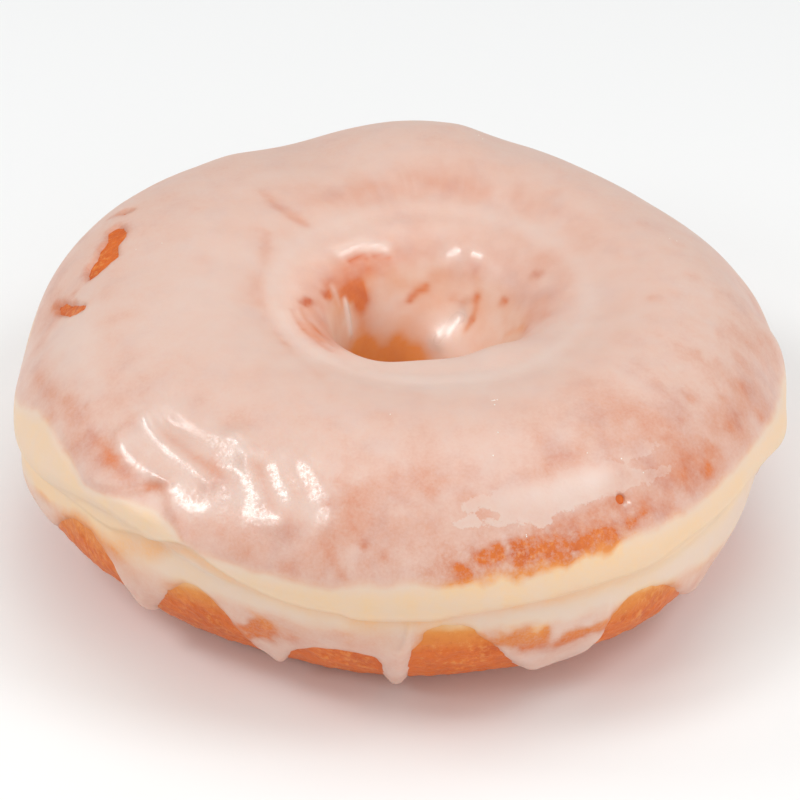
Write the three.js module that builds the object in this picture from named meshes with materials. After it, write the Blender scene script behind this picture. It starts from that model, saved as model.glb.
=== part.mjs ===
// A yeast-raised ring doughnut, modelled as the one solid ring of dough that it is.
// Millimetres, +Z up. The origin is the middle of the underside, and -Y is the front.
import * as THREE from "three";

const { radToDeg, euclideanModulo, smoothstep } = THREE.MathUtils;

// Driving sizes.
const DIAMETER = 95;
const HEIGHT = 34.5; // to the crown of the ring, before it swells unevenly
const THROAT_DIAMETER = 13; // the narrowest part of the hole
const CREASE_DIAMETER = 40.5; // the ring-shaped crease round the mouth of the hole
const CREASE_STEP = 1.6; // the drop from the crown into the crease
const FOOT_DIAMETER = 49; // the middle of the flat that the ring rests on
const FOOT_WIDTH = 14;
const FOOT_PRESS = 0.3; // how far its own weight presses the foot flat
const SEAM_HEIGHT = 18.8; // the fold at the waist, where the two fried halves meet
const SEAM_DEPTH = 1.5;
const SHOULDER = 5; // how far in from the rim the wall turns over into the crown
const SEAM_REACH = 7; // how far above and below the seam the wall follows its rise and fall

// How finely the ring is cut into facets.
const FACETS_ROUND = 96;
const FACETS_PER_SPAN = 2;

const RIM = DIAMETER / 2;
const THROAT = THROAT_DIAMETER / 2;
const CREASE = CREASE_DIAMETER / 2;
const FOOT = FOOT_DIAMETER / 2;

// The hole leans: its mouth lies to one side of its throat, and it bends over between these heights.
const MOUTH_OFFSET = new THREE.Vector2(3.9, -0.8);
const LEAN_FROM = 0.4 * HEIGHT;
const LEAN_TO = 0.95 * HEIGHT;

// Where the wall swells or falls in: [azimuth in degrees, height, push outwards, half width in degrees,
// half height]. Azimuth 0 is +X and 90 is the back.
const WALL_LUMPS = [
  [40, 27, -2.0, 26, 12],
  [85, 30, 0.9, 16, 8],
  [145, 27, 0.7, 24, 10],
  [175, 27, -2.4, 15, 7],
  [196, 13, 1.9, 12, 7],
  [245, 9, -1.6, 18, 10],
  [309, 11, 2.0, 24, 11],
  [353, 14, 1.2, 9, 7],
];

// Where the crown rises or sinks: [azimuth, distance from the axis, rise, half width in degrees, half breadth].
const CROWN_LUMPS = [
  [88, 38, 1.3, 16, 12],
  [112, 38, -1.0, 11, 12],
  [40, 36, -0.8, 24, 12],
  [150, 36, 0.4, 20, 12],
];

// How high the seam runs: [azimuth, rise, half width in degrees].
const SEAM_RISES = [
  [226, 4.3, 17],
  [330, 1.2, 16],
];

// 1 in the middle of a lump, fading to nearly 0 at twice its half width.
function fade(away, halfWidth) {
  return Math.exp(-((away / halfWidth) ** 2));
}

function fadeRound(azimuth, middle, halfWidth) {
  return fade(euclideanModulo(azimuth - middle + 180, 360) - 180, halfWidth);
}

// The section through one side of the ring, as stations [distance from the axis, height]. It runs down the
// throat, under the ring, up the wall past the seam, over the crown and back down into the hole.
function sectionStations() {
  const seamRoot = RIM - SEAM_DEPTH;
  const creaseFloor = HEIGHT - CREASE_STEP;
  return [
    // The throat, the flare under it and the foot.
    [THROAT, 0.42 * HEIGHT],
    [THROAT + 1.6, 0.2 * HEIGHT],
    [THROAT + 5.5, 0.06 * HEIGHT],
    [FOOT - FOOT_WIDTH / 2, -FOOT_PRESS],
    [FOOT + FOOT_WIDTH / 2, -FOOT_PRESS],
    // The lower half's round flank, up to the seam.
    [RIM - 10, 0.07 * HEIGHT],
    [RIM - 5.2, 0.2 * HEIGHT],
    [RIM - 2.5, 0.35 * HEIGHT],
    [seamRoot, SEAM_HEIGHT - 1.3],
    // The upper half's brow, its shoulder and the crown.
    [RIM - 0.5, SEAM_HEIGHT + 0.4],
    [RIM, SEAM_HEIGHT + 2.4],
    [RIM - 0.6, SEAM_HEIGHT + 5.2],
    [RIM - 2.7, 0.79 * HEIGHT],
    [RIM - 7, 0.9 * HEIGHT],
    [RIM - 13, 0.975 * HEIGHT],
    [CREASE + 8, HEIGHT],
    // The crease, the terrace inside it and the funnel.
    [CREASE + 3.5, HEIGHT - 0.3 * CREASE_STEP],
    [CREASE + 0.8, creaseFloor + 0.35],
    [CREASE - 0.8, creaseFloor - 0.25],
    [CREASE - 4, creaseFloor - 0.8],
    [CREASE - 7.3, 0.87 * HEIGHT],
    [THROAT + 3.4, 0.73 * HEIGHT],
    [THROAT + 1, 0.56 * HEIGHT],
  ];
}

function evenRing() {
  const stations = sectionStations().map(([r, z]) => new THREE.Vector3(r, z, 0));
  const curve = new THREE.CatmullRomCurve3(stations, true, "centripetal");
  const outline = curve
    .getPoints(stations.length * FACETS_PER_SPAN)
    .map((p) => new THREE.Vector2(p.x, p.y));
  return new THREE.LatheGeometry(outline, FACETS_ROUND).rotateX(Math.PI / 2);
}

// The even ring's point (r, azimuth, z), moved to where it lies on the risen and fried one.
function swollen(r, azimuth, z) {
  const onWall = smoothstep(r, CREASE, RIM - SHOULDER);
  const nearSeam = onWall * fade(z - SEAM_HEIGHT, SEAM_REACH);
  const push = WALL_LUMPS.reduce(
    (sum, [at, height, by, wide, tall]) => sum + by * fadeRound(azimuth, at, wide) * fade(z - height, tall),
    0,
  );
  const lift = CROWN_LUMPS.reduce(
    (sum, [at, out, by, wide, broad]) => sum + by * fadeRound(azimuth, at, wide) * fade(r - out, broad),
    0,
  );
  const seam = SEAM_RISES.reduce((sum, [at, by, wide]) => sum + by * fadeRound(azimuth, at, wide), 0);
  return {
    r: r + push * onWall,
    z: Math.max(0, z + lift * smoothstep(z, SEAM_HEIGHT, HEIGHT) + seam * nearSeam),
  };
}

function unevenRing() {
  const ring = evenRing();
  const position = ring.getAttribute("position");
  for (let i = 0; i < position.count; i++) {
    const x = position.getX(i);
    const y = position.getY(i);
    const azimuth = Math.atan2(y, x);
    const moved = swollen(Math.hypot(x, y), radToDeg(azimuth), position.getZ(i));
    const lean = smoothstep(moved.z, LEAN_FROM, LEAN_TO) * (1 - smoothstep(moved.r, CREASE, RIM));
    position.setXYZ(
      i,
      moved.r * Math.cos(azimuth) + lean * MOUTH_OFFSET.x,
      moved.r * Math.sin(azimuth) + lean * MOUTH_OFFSET.y,
      moved.z,
    );
  }
  ring.computeBoundingBox();
  const middle = ring.boundingBox.getCenter(new THREE.Vector3());
  return ring.translate(-middle.x, -middle.y, 0);
}

const dough = new THREE.Mesh(
  unevenRing(),
  new THREE.MeshStandardMaterial({ color: 0xd98a52, roughness: 0.6, metalness: 0 }),
);
dough.name = "dough_ring";

const doughnut = new THREE.Group();
doughnut.add(dough);

export default doughnut;
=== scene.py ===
# %% [markdown]
# A glazed ring doughnut, whole and uncut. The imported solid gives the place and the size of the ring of
# dough. This lesson builds three pieces over it: the fried dough with its crust, the sugar glaze that
# coats it, and a few grains of sugar on the glaze. Dough and glaze could be sculpted by hand, but then no
# fold could be moved by a millimetre afterwards. Here both are grids of points worked out with numpy,
# because every wrinkle of a doughnut is a small change of height over one ring, and a height is easy to
# say as a function.

import math

import bmesh
import bpy
import numpy as np
from mathutils import Matrix, Vector


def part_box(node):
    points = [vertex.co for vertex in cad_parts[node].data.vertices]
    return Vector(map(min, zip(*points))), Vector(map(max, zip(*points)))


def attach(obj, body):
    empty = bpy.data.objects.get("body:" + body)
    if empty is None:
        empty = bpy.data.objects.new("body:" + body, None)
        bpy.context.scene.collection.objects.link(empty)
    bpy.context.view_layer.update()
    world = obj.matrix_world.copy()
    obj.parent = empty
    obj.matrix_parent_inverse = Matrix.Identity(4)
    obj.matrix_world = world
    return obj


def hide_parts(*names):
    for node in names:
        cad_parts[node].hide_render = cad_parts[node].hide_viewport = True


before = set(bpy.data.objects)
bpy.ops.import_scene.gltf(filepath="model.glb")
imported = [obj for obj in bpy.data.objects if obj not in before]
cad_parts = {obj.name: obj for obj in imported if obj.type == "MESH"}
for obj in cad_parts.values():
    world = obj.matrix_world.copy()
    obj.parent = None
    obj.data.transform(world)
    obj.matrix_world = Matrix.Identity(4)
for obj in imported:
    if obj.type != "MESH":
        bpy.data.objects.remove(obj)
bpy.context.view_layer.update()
SOLID_LOW, SOLID_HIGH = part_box("dough_ring")
MM = 0.001
print("the packed ring measures", [round(side / MM, 1) for side in SOLID_HIGH - SOLID_LOW], "mm")

# %% [markdown]
# The camera looks down at the ring from the front, 35 degrees above the table. A short lens close by
# would swell the near side of the ring, so a long lens is used from nearly half a metre away, which keeps
# the far side almost as wide as the near side.

# %% Camera
# the distance and the point looked at are in metres, the lens and the sensor in millimetres
CAMERA_TILT = math.radians(35)
CAMERA_DISTANCE = 0.46
CAMERA_LENS = 166.5
CAMERA_SENSOR = 36
LOOK_AT = Vector((-0.0002, 0.0, 0.0162))

camera_data = bpy.data.cameras.new("product_camera")
camera_data.lens = CAMERA_LENS
camera_data.sensor_width = CAMERA_SENSOR
camera = bpy.data.objects.new("product_camera", camera_data)
camera.location = LOOK_AT + CAMERA_DISTANCE * Vector((0, -math.cos(CAMERA_TILT), math.sin(CAMERA_TILT)))
camera.rotation_euler = (math.pi / 2 - CAMERA_TILT, 0, 0)
bpy.context.scene.collection.objects.link(camera)
bpy.context.scene.camera = camera
print("the camera stands at", [round(side, 3) for side in camera.location], "m")

# %% [markdown]
# Sugar glaze shows its wrinkles only by what it mirrors. A surround of plain white would light the ring
# evenly and leave every fold flat, so most of the light comes from soft boxes, which are lamps with a
# size: each draws a bright mark where a fold is turned towards it. Three stand on the left, one on the
# right, one low on the right and one above, and a broad one in front fills the shadows.

# %% Soft boxes
# azimuth and tilt of each box in degrees, its distance, width and height in metres, its power in watts
SOFT_BOXES = {
    "left box": dict(azimuth=200, tilt=52, distance=0.55, width=0.135, height=0.135, watts=0.50),
    "low left box": dict(azimuth=172, tilt=38, distance=0.55, width=0.105, height=0.105, watts=0.27),
    "right box": dict(azimuth=346, tilt=52, distance=0.55, width=0.17, height=0.17, watts=0.50),
    "small left lamp": dict(azimuth=219, tilt=36, distance=0.55, width=0.11, height=0.11, watts=0.28),
    "top box": dict(azimuth=60, tilt=82, distance=0.60, width=0.36, height=0.36, watts=0.75),
    "front box": dict(azimuth=305, tilt=22, distance=0.75, width=1.0, height=0.8, watts=1.30),
    "low right box": dict(azimuth=340, tilt=9, distance=0.75, width=0.7, height=0.2, watts=0.60),
}


def towards(azimuth, tilt):
    """The direction at an azimuth from +X and a tilt above the floor, both in degrees."""
    a, t = math.radians(azimuth), math.radians(tilt)
    return Vector((math.cos(a) * math.cos(t), math.sin(a) * math.cos(t), math.sin(t)))


def soft_box(name, azimuth, tilt, distance, width, height, watts):
    """A rectangular lamp that faces the place the camera looks at."""
    data = bpy.data.lights.new(name, "AREA")
    data.shape = "RECTANGLE"
    data.size = width
    data.size_y = height
    data.energy = watts
    lamp = bpy.data.objects.new(name, data)
    lamp.location = LOOK_AT + distance * towards(azimuth, tilt)
    lamp.rotation_euler = towards(azimuth, tilt).to_track_quat("Z", "Y").to_euler()
    bpy.context.scene.collection.objects.link(lamp)


for box_name, box in SOFT_BOXES.items():
    soft_box(box_name, **box)
all_watts = sum(box["watts"] for box in SOFT_BOXES.values())
print(len(SOFT_BOXES), "soft boxes give", round(all_watts, 2), "watts")

# %% [markdown]
# The hole is deep and narrow, and little of that light reaches its walls. One more lamp looks over the
# front lip into it. A spot lamp with a very narrow cone is chosen, because it lights the hole and little
# beside it, and it is hidden from mirrored rays so that it leaves no mark of its own.

# %% The lamp into the hole
# azimuth, tilt and cone in degrees, distance and radius in metres, power in watts
HOLE_LAMP = dict(azimuth=252, tilt=64, distance=0.5, cone=3.6, radius=0.004, watts=3.0)
HOLE_LAMP_AIM = Vector((-0.0005, 0.005, 0.016))
hole_lamp_data = bpy.data.lights.new("lamp into the hole", "SPOT")
hole_lamp_data.energy = HOLE_LAMP["watts"]
hole_lamp_data.spot_size = math.radians(HOLE_LAMP["cone"])
hole_lamp_data.spot_blend = 1.0
hole_lamp_data.shadow_soft_size = HOLE_LAMP["radius"]
hole_lamp = bpy.data.objects.new("lamp into the hole", hole_lamp_data)
hole_lamp_way = towards(HOLE_LAMP["azimuth"], HOLE_LAMP["tilt"])
hole_lamp.location = HOLE_LAMP_AIM + HOLE_LAMP["distance"] * hole_lamp_way
hole_lamp.rotation_euler = hole_lamp_way.to_track_quat("Z", "Y").to_euler()
hole_lamp.visible_glossy = False
bpy.context.scene.collection.objects.link(hole_lamp)
print("the lamp into the hole stands at", [round(side, 3) for side in hole_lamp.location], "m")

# %% [markdown]
# The surround is a warm white world, and the doughnut stands on a plain pale floor. The floor is matt, so
# that it throws soft light up under the ring and mirrors nothing. The view transform is set to Standard,
# because a filmic one would dull the pale glaze.

# %% Surround and floor
SURROUND = (1.0, 0.985, 0.97)
SURROUND_STRENGTH = 0.47
FLOOR_HALF = 1.2
FLOOR_COLOUR = (0.915, 0.93, 0.935)

world = bpy.data.worlds.new("white_surround")
world.use_nodes = True
surround = world.node_tree.nodes["Background"]
surround.inputs["Color"].default_value = (*SURROUND, 1)
surround.inputs["Strength"].default_value = SURROUND_STRENGTH
bpy.context.scene.world = world
bpy.context.scene.view_settings.view_transform = "Standard"

floor_mesh = bpy.data.meshes.new("pale_floor")
floor_mesh.from_pydata(
    [(x, y, 0) for x, y in ((-1, -1), (1, -1), (1, 1), (-1, 1))], [], [(0, 1, 2, 3)]
)
floor_mesh.transform(Matrix.Scale(FLOOR_HALF, 4))
floor = bpy.data.objects.new("pale_floor", floor_mesh)
bpy.context.scene.collection.objects.link(floor)
floor_material = bpy.data.materials.new("pale_floor")
floor_material.use_nodes = True
floor_shader = floor_material.node_tree.nodes["Principled BSDF"]
floor_shader.inputs["Base Color"].default_value = (*FLOOR_COLOUR, 1)
floor_shader.inputs["Roughness"].default_value = 0.8
floor_shader.inputs["Specular IOR Level"].default_value = 0.1
floor_mesh.materials.append(floor_material)
print("the floor is", 2 * FLOOR_HALF, "m wide")

# %% [markdown]
# The dough is a risen ring: a flat foot, two rounded halves with a seam between them, a shallow crease on
# top and a funnel down to the hole. Its section is a closed curve through a few stations, the same as in
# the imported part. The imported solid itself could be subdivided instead, but its faces are too coarse for a
# crust, and a curve can be read at any place.

# %% The ring's sizes, in millimetres
RIM = 95 / 2
HEIGHT = 34.5
THROAT = 13 / 2
CREASE = 40.5 / 2
CREASE_STEP = 1.6
FOOT = 49 / 2
FOOT_WIDTH = 14
FOOT_PRESS = 0.3
SEAM_HEIGHT = 18.8
SEAM_DEPTH = 1.5
SHOULDER = 5
SEAM_REACH = 7
MOUTH_OFFSET = (3.9, -0.8)
LEAN_FROM = 0.4 * HEIGHT
LEAN_TO = 0.95 * HEIGHT

# (azimuth, height, push outwards, half width in degrees, half height)
WALL_LUMPS = [
    (40, 27, -2.0, 26, 12),
    (85, 30, 0.9, 16, 8),
    (145, 27, 0.7, 24, 10),
    (175, 27, -2.4, 15, 7),
    (196, 13, 1.9, 12, 7),
    (245, 9, -1.6, 18, 10),
    (309, 11, 2.0, 24, 11),
    (353, 14, 1.2, 9, 7),
]
# (azimuth, distance from the axis, rise, half width in degrees, half breadth)
CROWN_LUMPS = [
    (88, 38, 1.3, 16, 12),
    (112, 38, -1.0, 11, 12),
    (40, 36, -0.8, 24, 12),
    (150, 36, 0.4, 20, 12),
]
# (azimuth, rise, half width in degrees)
SEAM_RISES = [(226, 4.3, 17), (330, 1.2, 16)]
print("the ring is", 2 * RIM, "mm across and its throat", 2 * THROAT, "mm")


# %% The ring's section
def section_stations():
    """Places (distance from the axis, height): down the throat, round the foot, up the wall and back."""
    seam_root = RIM - SEAM_DEPTH
    crease_floor = HEIGHT - CREASE_STEP
    return np.array([
        (THROAT, 0.42 * HEIGHT),
        (THROAT + 1.6, 0.2 * HEIGHT),
        (THROAT + 5.5, 0.06 * HEIGHT),
        (FOOT - FOOT_WIDTH / 2, -FOOT_PRESS),
        (FOOT + FOOT_WIDTH / 2, -FOOT_PRESS),
        (RIM - 10, 0.07 * HEIGHT),
        (RIM - 5.2, 0.2 * HEIGHT),
        (RIM - 2.5, 0.35 * HEIGHT),
        (seam_root, SEAM_HEIGHT - 1.3),
        (RIM - 0.5, SEAM_HEIGHT + 0.4),
        (RIM, SEAM_HEIGHT + 2.4),
        (RIM - 0.6, SEAM_HEIGHT + 5.2),
        (RIM - 2.7, 0.79 * HEIGHT),
        (RIM - 7, 0.9 * HEIGHT),
        (RIM - 13, 0.975 * HEIGHT),
        (CREASE + 8, HEIGHT),
        (CREASE + 3.5, HEIGHT - 0.3 * CREASE_STEP),
        (CREASE + 0.8, crease_floor + 0.35),
        (CREASE - 0.8, crease_floor - 0.25),
        (CREASE - 4, crease_floor - 0.8),
        (CREASE - 7.3, 0.87 * HEIGHT),
        (THROAT + 3.4, 0.73 * HEIGHT),
        (THROAT + 1, 0.56 * HEIGHT),
    ])


def smooth_span(b, c, leave, arrive, share):
    """A smooth span from b to c that leaves and arrives at the given rates."""
    return (
        b + leave * share
        + (3 * (c - b) - 2 * leave - arrive) * share**2
        + (2 * (b - c) + leave + arrive) * share**3
    )


def closed_curve(stations, steps=60):
    """A centripetal Catmull-Rom curve through the stations and back to the first."""
    share = np.linspace(0, 1, steps, endpoint=False)[:, None]
    spans = []
    for i in range(len(stations)):
        a, b, c, d = (stations[(i + k) % len(stations)] for k in (-1, 0, 1, 2))
        ab, bc, cd = (math.sqrt(np.linalg.norm(q - p)) for p, q in ((a, b), (b, c), (c, d)))
        leave = bc * ((b - a) / ab - (c - a) / (ab + bc) + (c - b) / bc)
        arrive = bc * ((c - b) / bc - (d - b) / (bc + cd) + (d - c) / cd)
        spans.append(smooth_span(b, c, leave, arrive, share))
    return np.vstack(spans)


SECTION = closed_curve(section_stations())
SECTION = np.vstack([SECTION, SECTION[:1]])
WALKED = np.concatenate([[0], np.cumsum(np.linalg.norm(np.diff(SECTION, axis=0), axis=1))])
on_top = SECTION[:, 1] > 0.8 * HEIGHT
AT_CREASE = WALKED[np.argmin(np.where(on_top, abs(SECTION[:, 0] - CREASE), np.inf))]
print("once round the section is", round(float(WALKED[-1]), 1), "mm")

# %% [markdown]
# Nothing on a doughnut has a sharp border, so every shape below is made from a few soft functions: a
# smooth step, a fade that is 1 in the middle and nearly 0 at twice its half width, and the angle between
# two azimuths the short way round. A wavy line round the ring, such as the seam, is a smooth wave through
# a few stations.

# %% Soft steps, fades and waves
def smoothstep(x, low, high):
    """0 below low, 1 above high, and a soft rise between them."""
    t = np.clip((x - low) / (high - low), 0, 1)
    return t * t * (3 - 2 * t)


def fade(away, half_width):
    """1 in the middle, falling off to both sides like a bell."""
    return np.exp(-((away / half_width) ** 2))


def turned(azimuth, middle):
    """The angle from the middle to an azimuth, the short way round."""
    return (azimuth - middle + 180) % 360 - 180


def fade_round(azimuth, middle, half_width):
    """A fade round the ring, with its half width in degrees."""
    return fade(turned(azimuth, middle), half_width)


def closed_wave(stations, steps=14):
    """A smooth wave round the ring through (azimuth, value) stations."""
    s = np.array(stations, float)
    s = np.vstack([s[-3:] - (360, 0), s, s[:3] + (360, 0)])
    share = np.linspace(0, 1, steps, endpoint=False)[:, None]
    spans = []
    for a, b, c, d in zip(s[:-3], s[1:-2], s[2:-1], s[3:]):
        spans.append(smooth_span(b, c, (c - a) / 2, (d - b) / 2, share))
    wave = np.vstack(spans)
    wave = wave[np.argsort(wave[:, 0], kind="stable")]
    return wave[(wave[:, 0] >= 0) & (wave[:, 0] < 360)]


def wave_level(azimuth, stations):
    """The wave's value at each azimuth."""
    return np.interp(azimuth, *closed_wave(stations).T, period=360)


print("at its half width and at twice that, a fade is", fade(np.array([1, 2]), 1).round(2))

# %% [markdown]
# Every place on the doughnut has an address of two numbers: its azimuth round the ring in degrees, and
# its reach, which is how many millimetres it lies outside the crease when walking along the skin over the
# crown, down the wall and under the foot. Inside the crease, down into the hole, the reach is negative.
# Plain x, y and z would also do, but a wrinkle or a drip is far easier to place by its address. The same
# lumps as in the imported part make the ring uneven.

# %% The uneven ring
def ring_points(azimuth, reach):
    """The places of addresses on the ring, in mm, before it is centred."""
    walked = AT_CREASE - reach
    r = np.interp(walked, WALKED, SECTION[:, 0], period=WALKED[-1])
    z = np.interp(walked, WALKED, SECTION[:, 1], period=WALKED[-1])
    on_wall = smoothstep(r, CREASE, RIM - SHOULDER)
    push = sum(
        by * fade_round(azimuth, at, wide) * fade(z - height, tall)
        for at, height, by, wide, tall in WALL_LUMPS
    )
    lift = sum(
        by * fade_round(azimuth, at, wide) * fade(r - out, broad)
        for at, out, by, wide, broad in CROWN_LUMPS
    )
    seam = sum(by * fade_round(azimuth, at, wide) for at, by, wide in SEAM_RISES)
    z_moved = z + lift * smoothstep(z, SEAM_HEIGHT, HEIGHT)
    z_moved = z_moved + seam * on_wall * fade(z - SEAM_HEIGHT, SEAM_REACH)
    z_moved = np.maximum(z_moved, 0)
    r_moved = r + push * on_wall
    lean = smoothstep(z_moved, LEAN_FROM, LEAN_TO) * (1 - smoothstep(r_moved, CREASE, RIM))
    angle = np.radians(azimuth)
    x = r_moved * np.cos(angle) + lean * MOUTH_OFFSET[0]
    y = r_moved * np.sin(angle) + lean * MOUTH_OFFSET[1]
    return np.stack([x, y, z_moved], axis=-1)


def ring_middle():
    """The middle of the ring's own box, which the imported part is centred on."""
    azimuth, reach = np.meshgrid(np.arange(0, 360, 0.5), np.arange(0, 121, 0.5), indexing="ij")
    points = ring_points(azimuth, reach).reshape(-1, 3)
    return (points.max(axis=0) + points.min(axis=0)) / 2 * (1, 1, 0)


MIDDLE = ring_middle()


def on_skin(azimuth, reach):
    """The places of addresses on the centred ring, in mm."""
    return ring_points(np.asarray(azimuth, float), np.asarray(reach, float)) - MIDDLE


print("a place on the front shoulder is at", on_skin(270, 15).round(1), "mm")

# %% [markdown]
# A skin is a grid of such addresses, with the point and the directions east, down and out at each. A
# modifier could subdivide the whole ring evenly, but fine folds fill only a part of it. So the rows are
# crowded where the doughnut has fine detail and wide apart where it is plain, and the faces go where they
# show.

# %% A grid over the skin
FINE_COUNT = 6001
SKIN_STEP = 0.05
SKIN_STEP_RADIUS = 30
FLOW_RADIUS = 45
FLOW_STRETCH = 0.22


def crowded(start, end, count, bands):
    """Numbers from start to end, closer together in each band (low, high, how much closer)."""
    fine = np.linspace(start, end, FINE_COUNT)
    middles = (fine[:-1] + fine[1:]) / 2
    closeness = np.ones(len(middles))
    for low, high, more in bands:
        closeness += more * ((middles > low) & (middles < high))
    walked = np.concatenate([[0], np.cumsum(closeness)])
    return np.interp(np.linspace(0, walked[-1], count), walked, fine)


def unit(vectors):
    """The same directions, each with a length of one."""
    return vectors / np.maximum(np.linalg.norm(vectors, axis=-1, keepdims=True), 1e-9)


class Skin:
    """A grid of addresses, with flow as a place to take noise that is drawn out downhill."""

    def __init__(self, azimuths, reaches):
        self.azimuth, self.reach = np.meshgrid(azimuths, reaches, indexing="ij")
        self.points = on_skin(self.azimuth, self.reach)
        step = SKIN_STEP
        along = on_skin(self.azimuth, self.reach + step) - on_skin(self.azimuth, self.reach - step)
        turn = np.degrees(step / SKIN_STEP_RADIUS)
        east = on_skin(self.azimuth + turn, self.reach) - on_skin(self.azimuth - turn, self.reach)
        self.east, self.down, self.out = unit(east), unit(along), unit(np.cross(along, east))
        angle = np.radians(self.azimuth)
        round_ring = FLOW_RADIUS * np.cos(angle), FLOW_RADIUS * np.sin(angle)
        self.flow = np.stack([*round_ring, FLOW_STRETCH * self.reach], axis=-1)


# %% [markdown]
# Unevenness that nobody planned is drawn with seeded noise. Blender's own noise is read one point at a
# time, which is slow for a grid of a hundred thousand. So the noise is worked out here for all points at
# once, from a seeded grid of random numbers. That grid is turned a little, so that its rows never line up
# with the ring.

# %% Soft noise
NOISE_ANGLE = 0.7
NOISE_TURN = np.array(Matrix.Rotation(NOISE_ANGLE, 3, Vector((0.3, 0.8, 0.5))))
NOISE_SHIFT = 7.3
LAYER_SHIFT = 11.7


def make_noise(seed, cells=32):
    """Soft noise in three dimensions: a function of points and of the size of its lumps, both in mm."""
    lattice = np.random.default_rng(seed).uniform(-1, 1, (cells, cells, cells))

    def noise(points, size):
        scaled = points @ NOISE_TURN / size + NOISE_SHIFT
        cell = np.floor(scaled).astype(int)
        t = scaled - cell
        t = t * t * (3 - 2 * t)
        total = np.zeros(points.shape[:-1])
        for corner in np.ndindex(2, 2, 2):
            index = (cell + corner) % cells
            weight = np.prod(np.where(corner, t, 1 - t), axis=-1)
            total += weight * lattice[index[..., 0], index[..., 1], index[..., 2]]
        return total

    return noise


def layered(noise, points, size, layers=3, keep=0.5):
    """Noise with smaller and fainter copies of itself on top."""
    return sum(keep**k * noise(points + LAYER_SHIFT * k, size / 2**k) for k in range(layers))


print("the grid of the noise is turned by", round(math.degrees(NOISE_ANGLE)), "degrees")

# %% [markdown]
# What did happen at a certain place, such as a wrinkle or a bare patch, is drawn on the skin like a line
# or a closed outline. It could be painted into an image and wrapped round the ring, but a line of a few
# places stays sharp at any size. One function tells how far every point is from a line, the other how
# deep it is inside an outline. Only the points near the line are measured, to save time.

# %% Lines drawn on the skin
FAR = 50.0
STROKE_MARGIN = 8


def distance_to_span(here, a, b):
    """How far each place is from the straight span between a and b."""
    share = np.clip((here - a) @ (b - a) / ((b - a) @ (b - a)), 0, 1)
    return np.linalg.norm(here - a - share[:, None] * (b - a), axis=1)


def stroke(skin, *path):
    """How far each point of the skin is from a path of (azimuth, reach) places, in mm."""
    path = np.array(path, float)
    places = on_skin(path[:, 0], path[:, 1])
    middle = places.mean(axis=0)
    margin = np.linalg.norm(places - middle, axis=1).max() + STROKE_MARGIN
    away = np.full(skin.azimuth.shape, FAR)
    close = np.linalg.norm(skin.points - middle, axis=-1) < margin
    here = skin.points[close]
    nearest = np.linalg.norm(here - places[0], axis=1)
    for a, b in zip(places[:-1], places[1:]):
        nearest = np.minimum(nearest, distance_to_span(here, a, b))
    away[close] = nearest
    return away


# %% Outlines drawn on the skin
OUTLINE_MARGIN = 6


def radius_at(reach):
    """How far the skin is from the axis at a reach, in mm."""
    return np.linalg.norm(on_skin(90, reach)[:2])


def flat_map(azimuth, reach, middle):
    """Millimetres east and down from a middle place, walking along the skin."""
    east = np.radians(turned(azimuth, middle[0])) * radius_at(middle[1])
    return np.stack([east, reach - middle[1]], axis=-1)


def inside_outline(skin, outline):
    """How deep inside a closed outline each point lies, in mm; negative outside it."""
    outline = np.array(outline, float)
    middle = outline.mean(axis=0)
    corners = flat_map(outline[:, 0], outline[:, 1], middle)
    depth = np.full(skin.azimuth.shape, -FAR)
    spread = np.abs(corners).max(axis=0) + OUTLINE_MARGIN
    flat = flat_map(skin.azimuth, skin.reach, middle)
    close = (np.abs(flat) < spread).all(axis=-1)
    here = flat[close]
    nearest = np.full(len(here), FAR)
    inside = np.zeros(len(here), bool)
    for a, b in zip(corners, np.roll(corners, -1, axis=0)):
        nearest = np.minimum(nearest, distance_to_span(here, a, b))
        spans = (a[1] > here[:, 1]) != (b[1] > here[:, 1])
        rise = b[1] - a[1] if b[1] != a[1] else 1e-9
        inside ^= spans & (here[:, 0] < a[0] + (here[:, 1] - a[1]) / rise * (b[0] - a[0]))
    depth[close] = np.where(inside, nearest, -nearest)
    return depth


print("the crown is", round(float(radius_at(10)), 1), "mm from the axis")

# %% [markdown]
# The dough rose against itself in the fryer, so it is not a smooth ring. The crown rolls out over the
# waist and ends at a seam all the way round, one lobe of dough hangs down like a leaf at the front left,
# and there are shallow lumps on the rim and on the lip of the hole. A bump in the material would not show
# at the ring's outline, so these are true heights, and they are added under the glaze and on it alike.

# %% Where the seam, the leaf and the lumps lie
# (azimuth, reach) places along the seam
SEAM_LINE = [
    (8, 36), (30, 35.6), (52, 36.2), (78, 35.4), (104, 36.1), (130, 35.5), (155, 36.2), (178, 36),
    (195, 36.4), (206, 37.1), (213, 38.2), (218, 39.2), (222.5, 39.3), (227.5, 38.3), (231, 37),
    (233.8, 35.2), (236.5, 33.4), (239.3, 32.2), (243, 33.3), (248, 34.4), (255, 35.8), (261.5, 36.0),
    (264, 37.3), (270, 37.3), (275, 37.1), (278, 36.0), (285, 35.2), (291, 34.9), (300, 34.7), (307, 35),
    (314, 34.4), (324, 35), (338, 35.3), (350, 35.9),
]
SEAM_ROLL = 0.30
SEAM_HOLLOW = 0.50
SEAM_SOFTNESS = 0.42
# depth, height and half widths of the leaf's edges in mm, then (azimuth, reach) places along them
LEAF_CREASE_DEPTH, LEAF_CREASE_WIDTH = 0.20, 0.65
LEAF_RIDGE_HEIGHT, LEAF_RIDGE_WIDTH = 0.30, 1.1
LEAF_CREASE = [(208, 28.3), (214, 29.8), (219, 32.3), (222, 32.4), (226, 30.0), (230, 27.0), (232.5, 25.6)]
LEAF_RIDGE = [(232.8, 25.8), (236, 28.2), (239, 31.2)]
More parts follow.
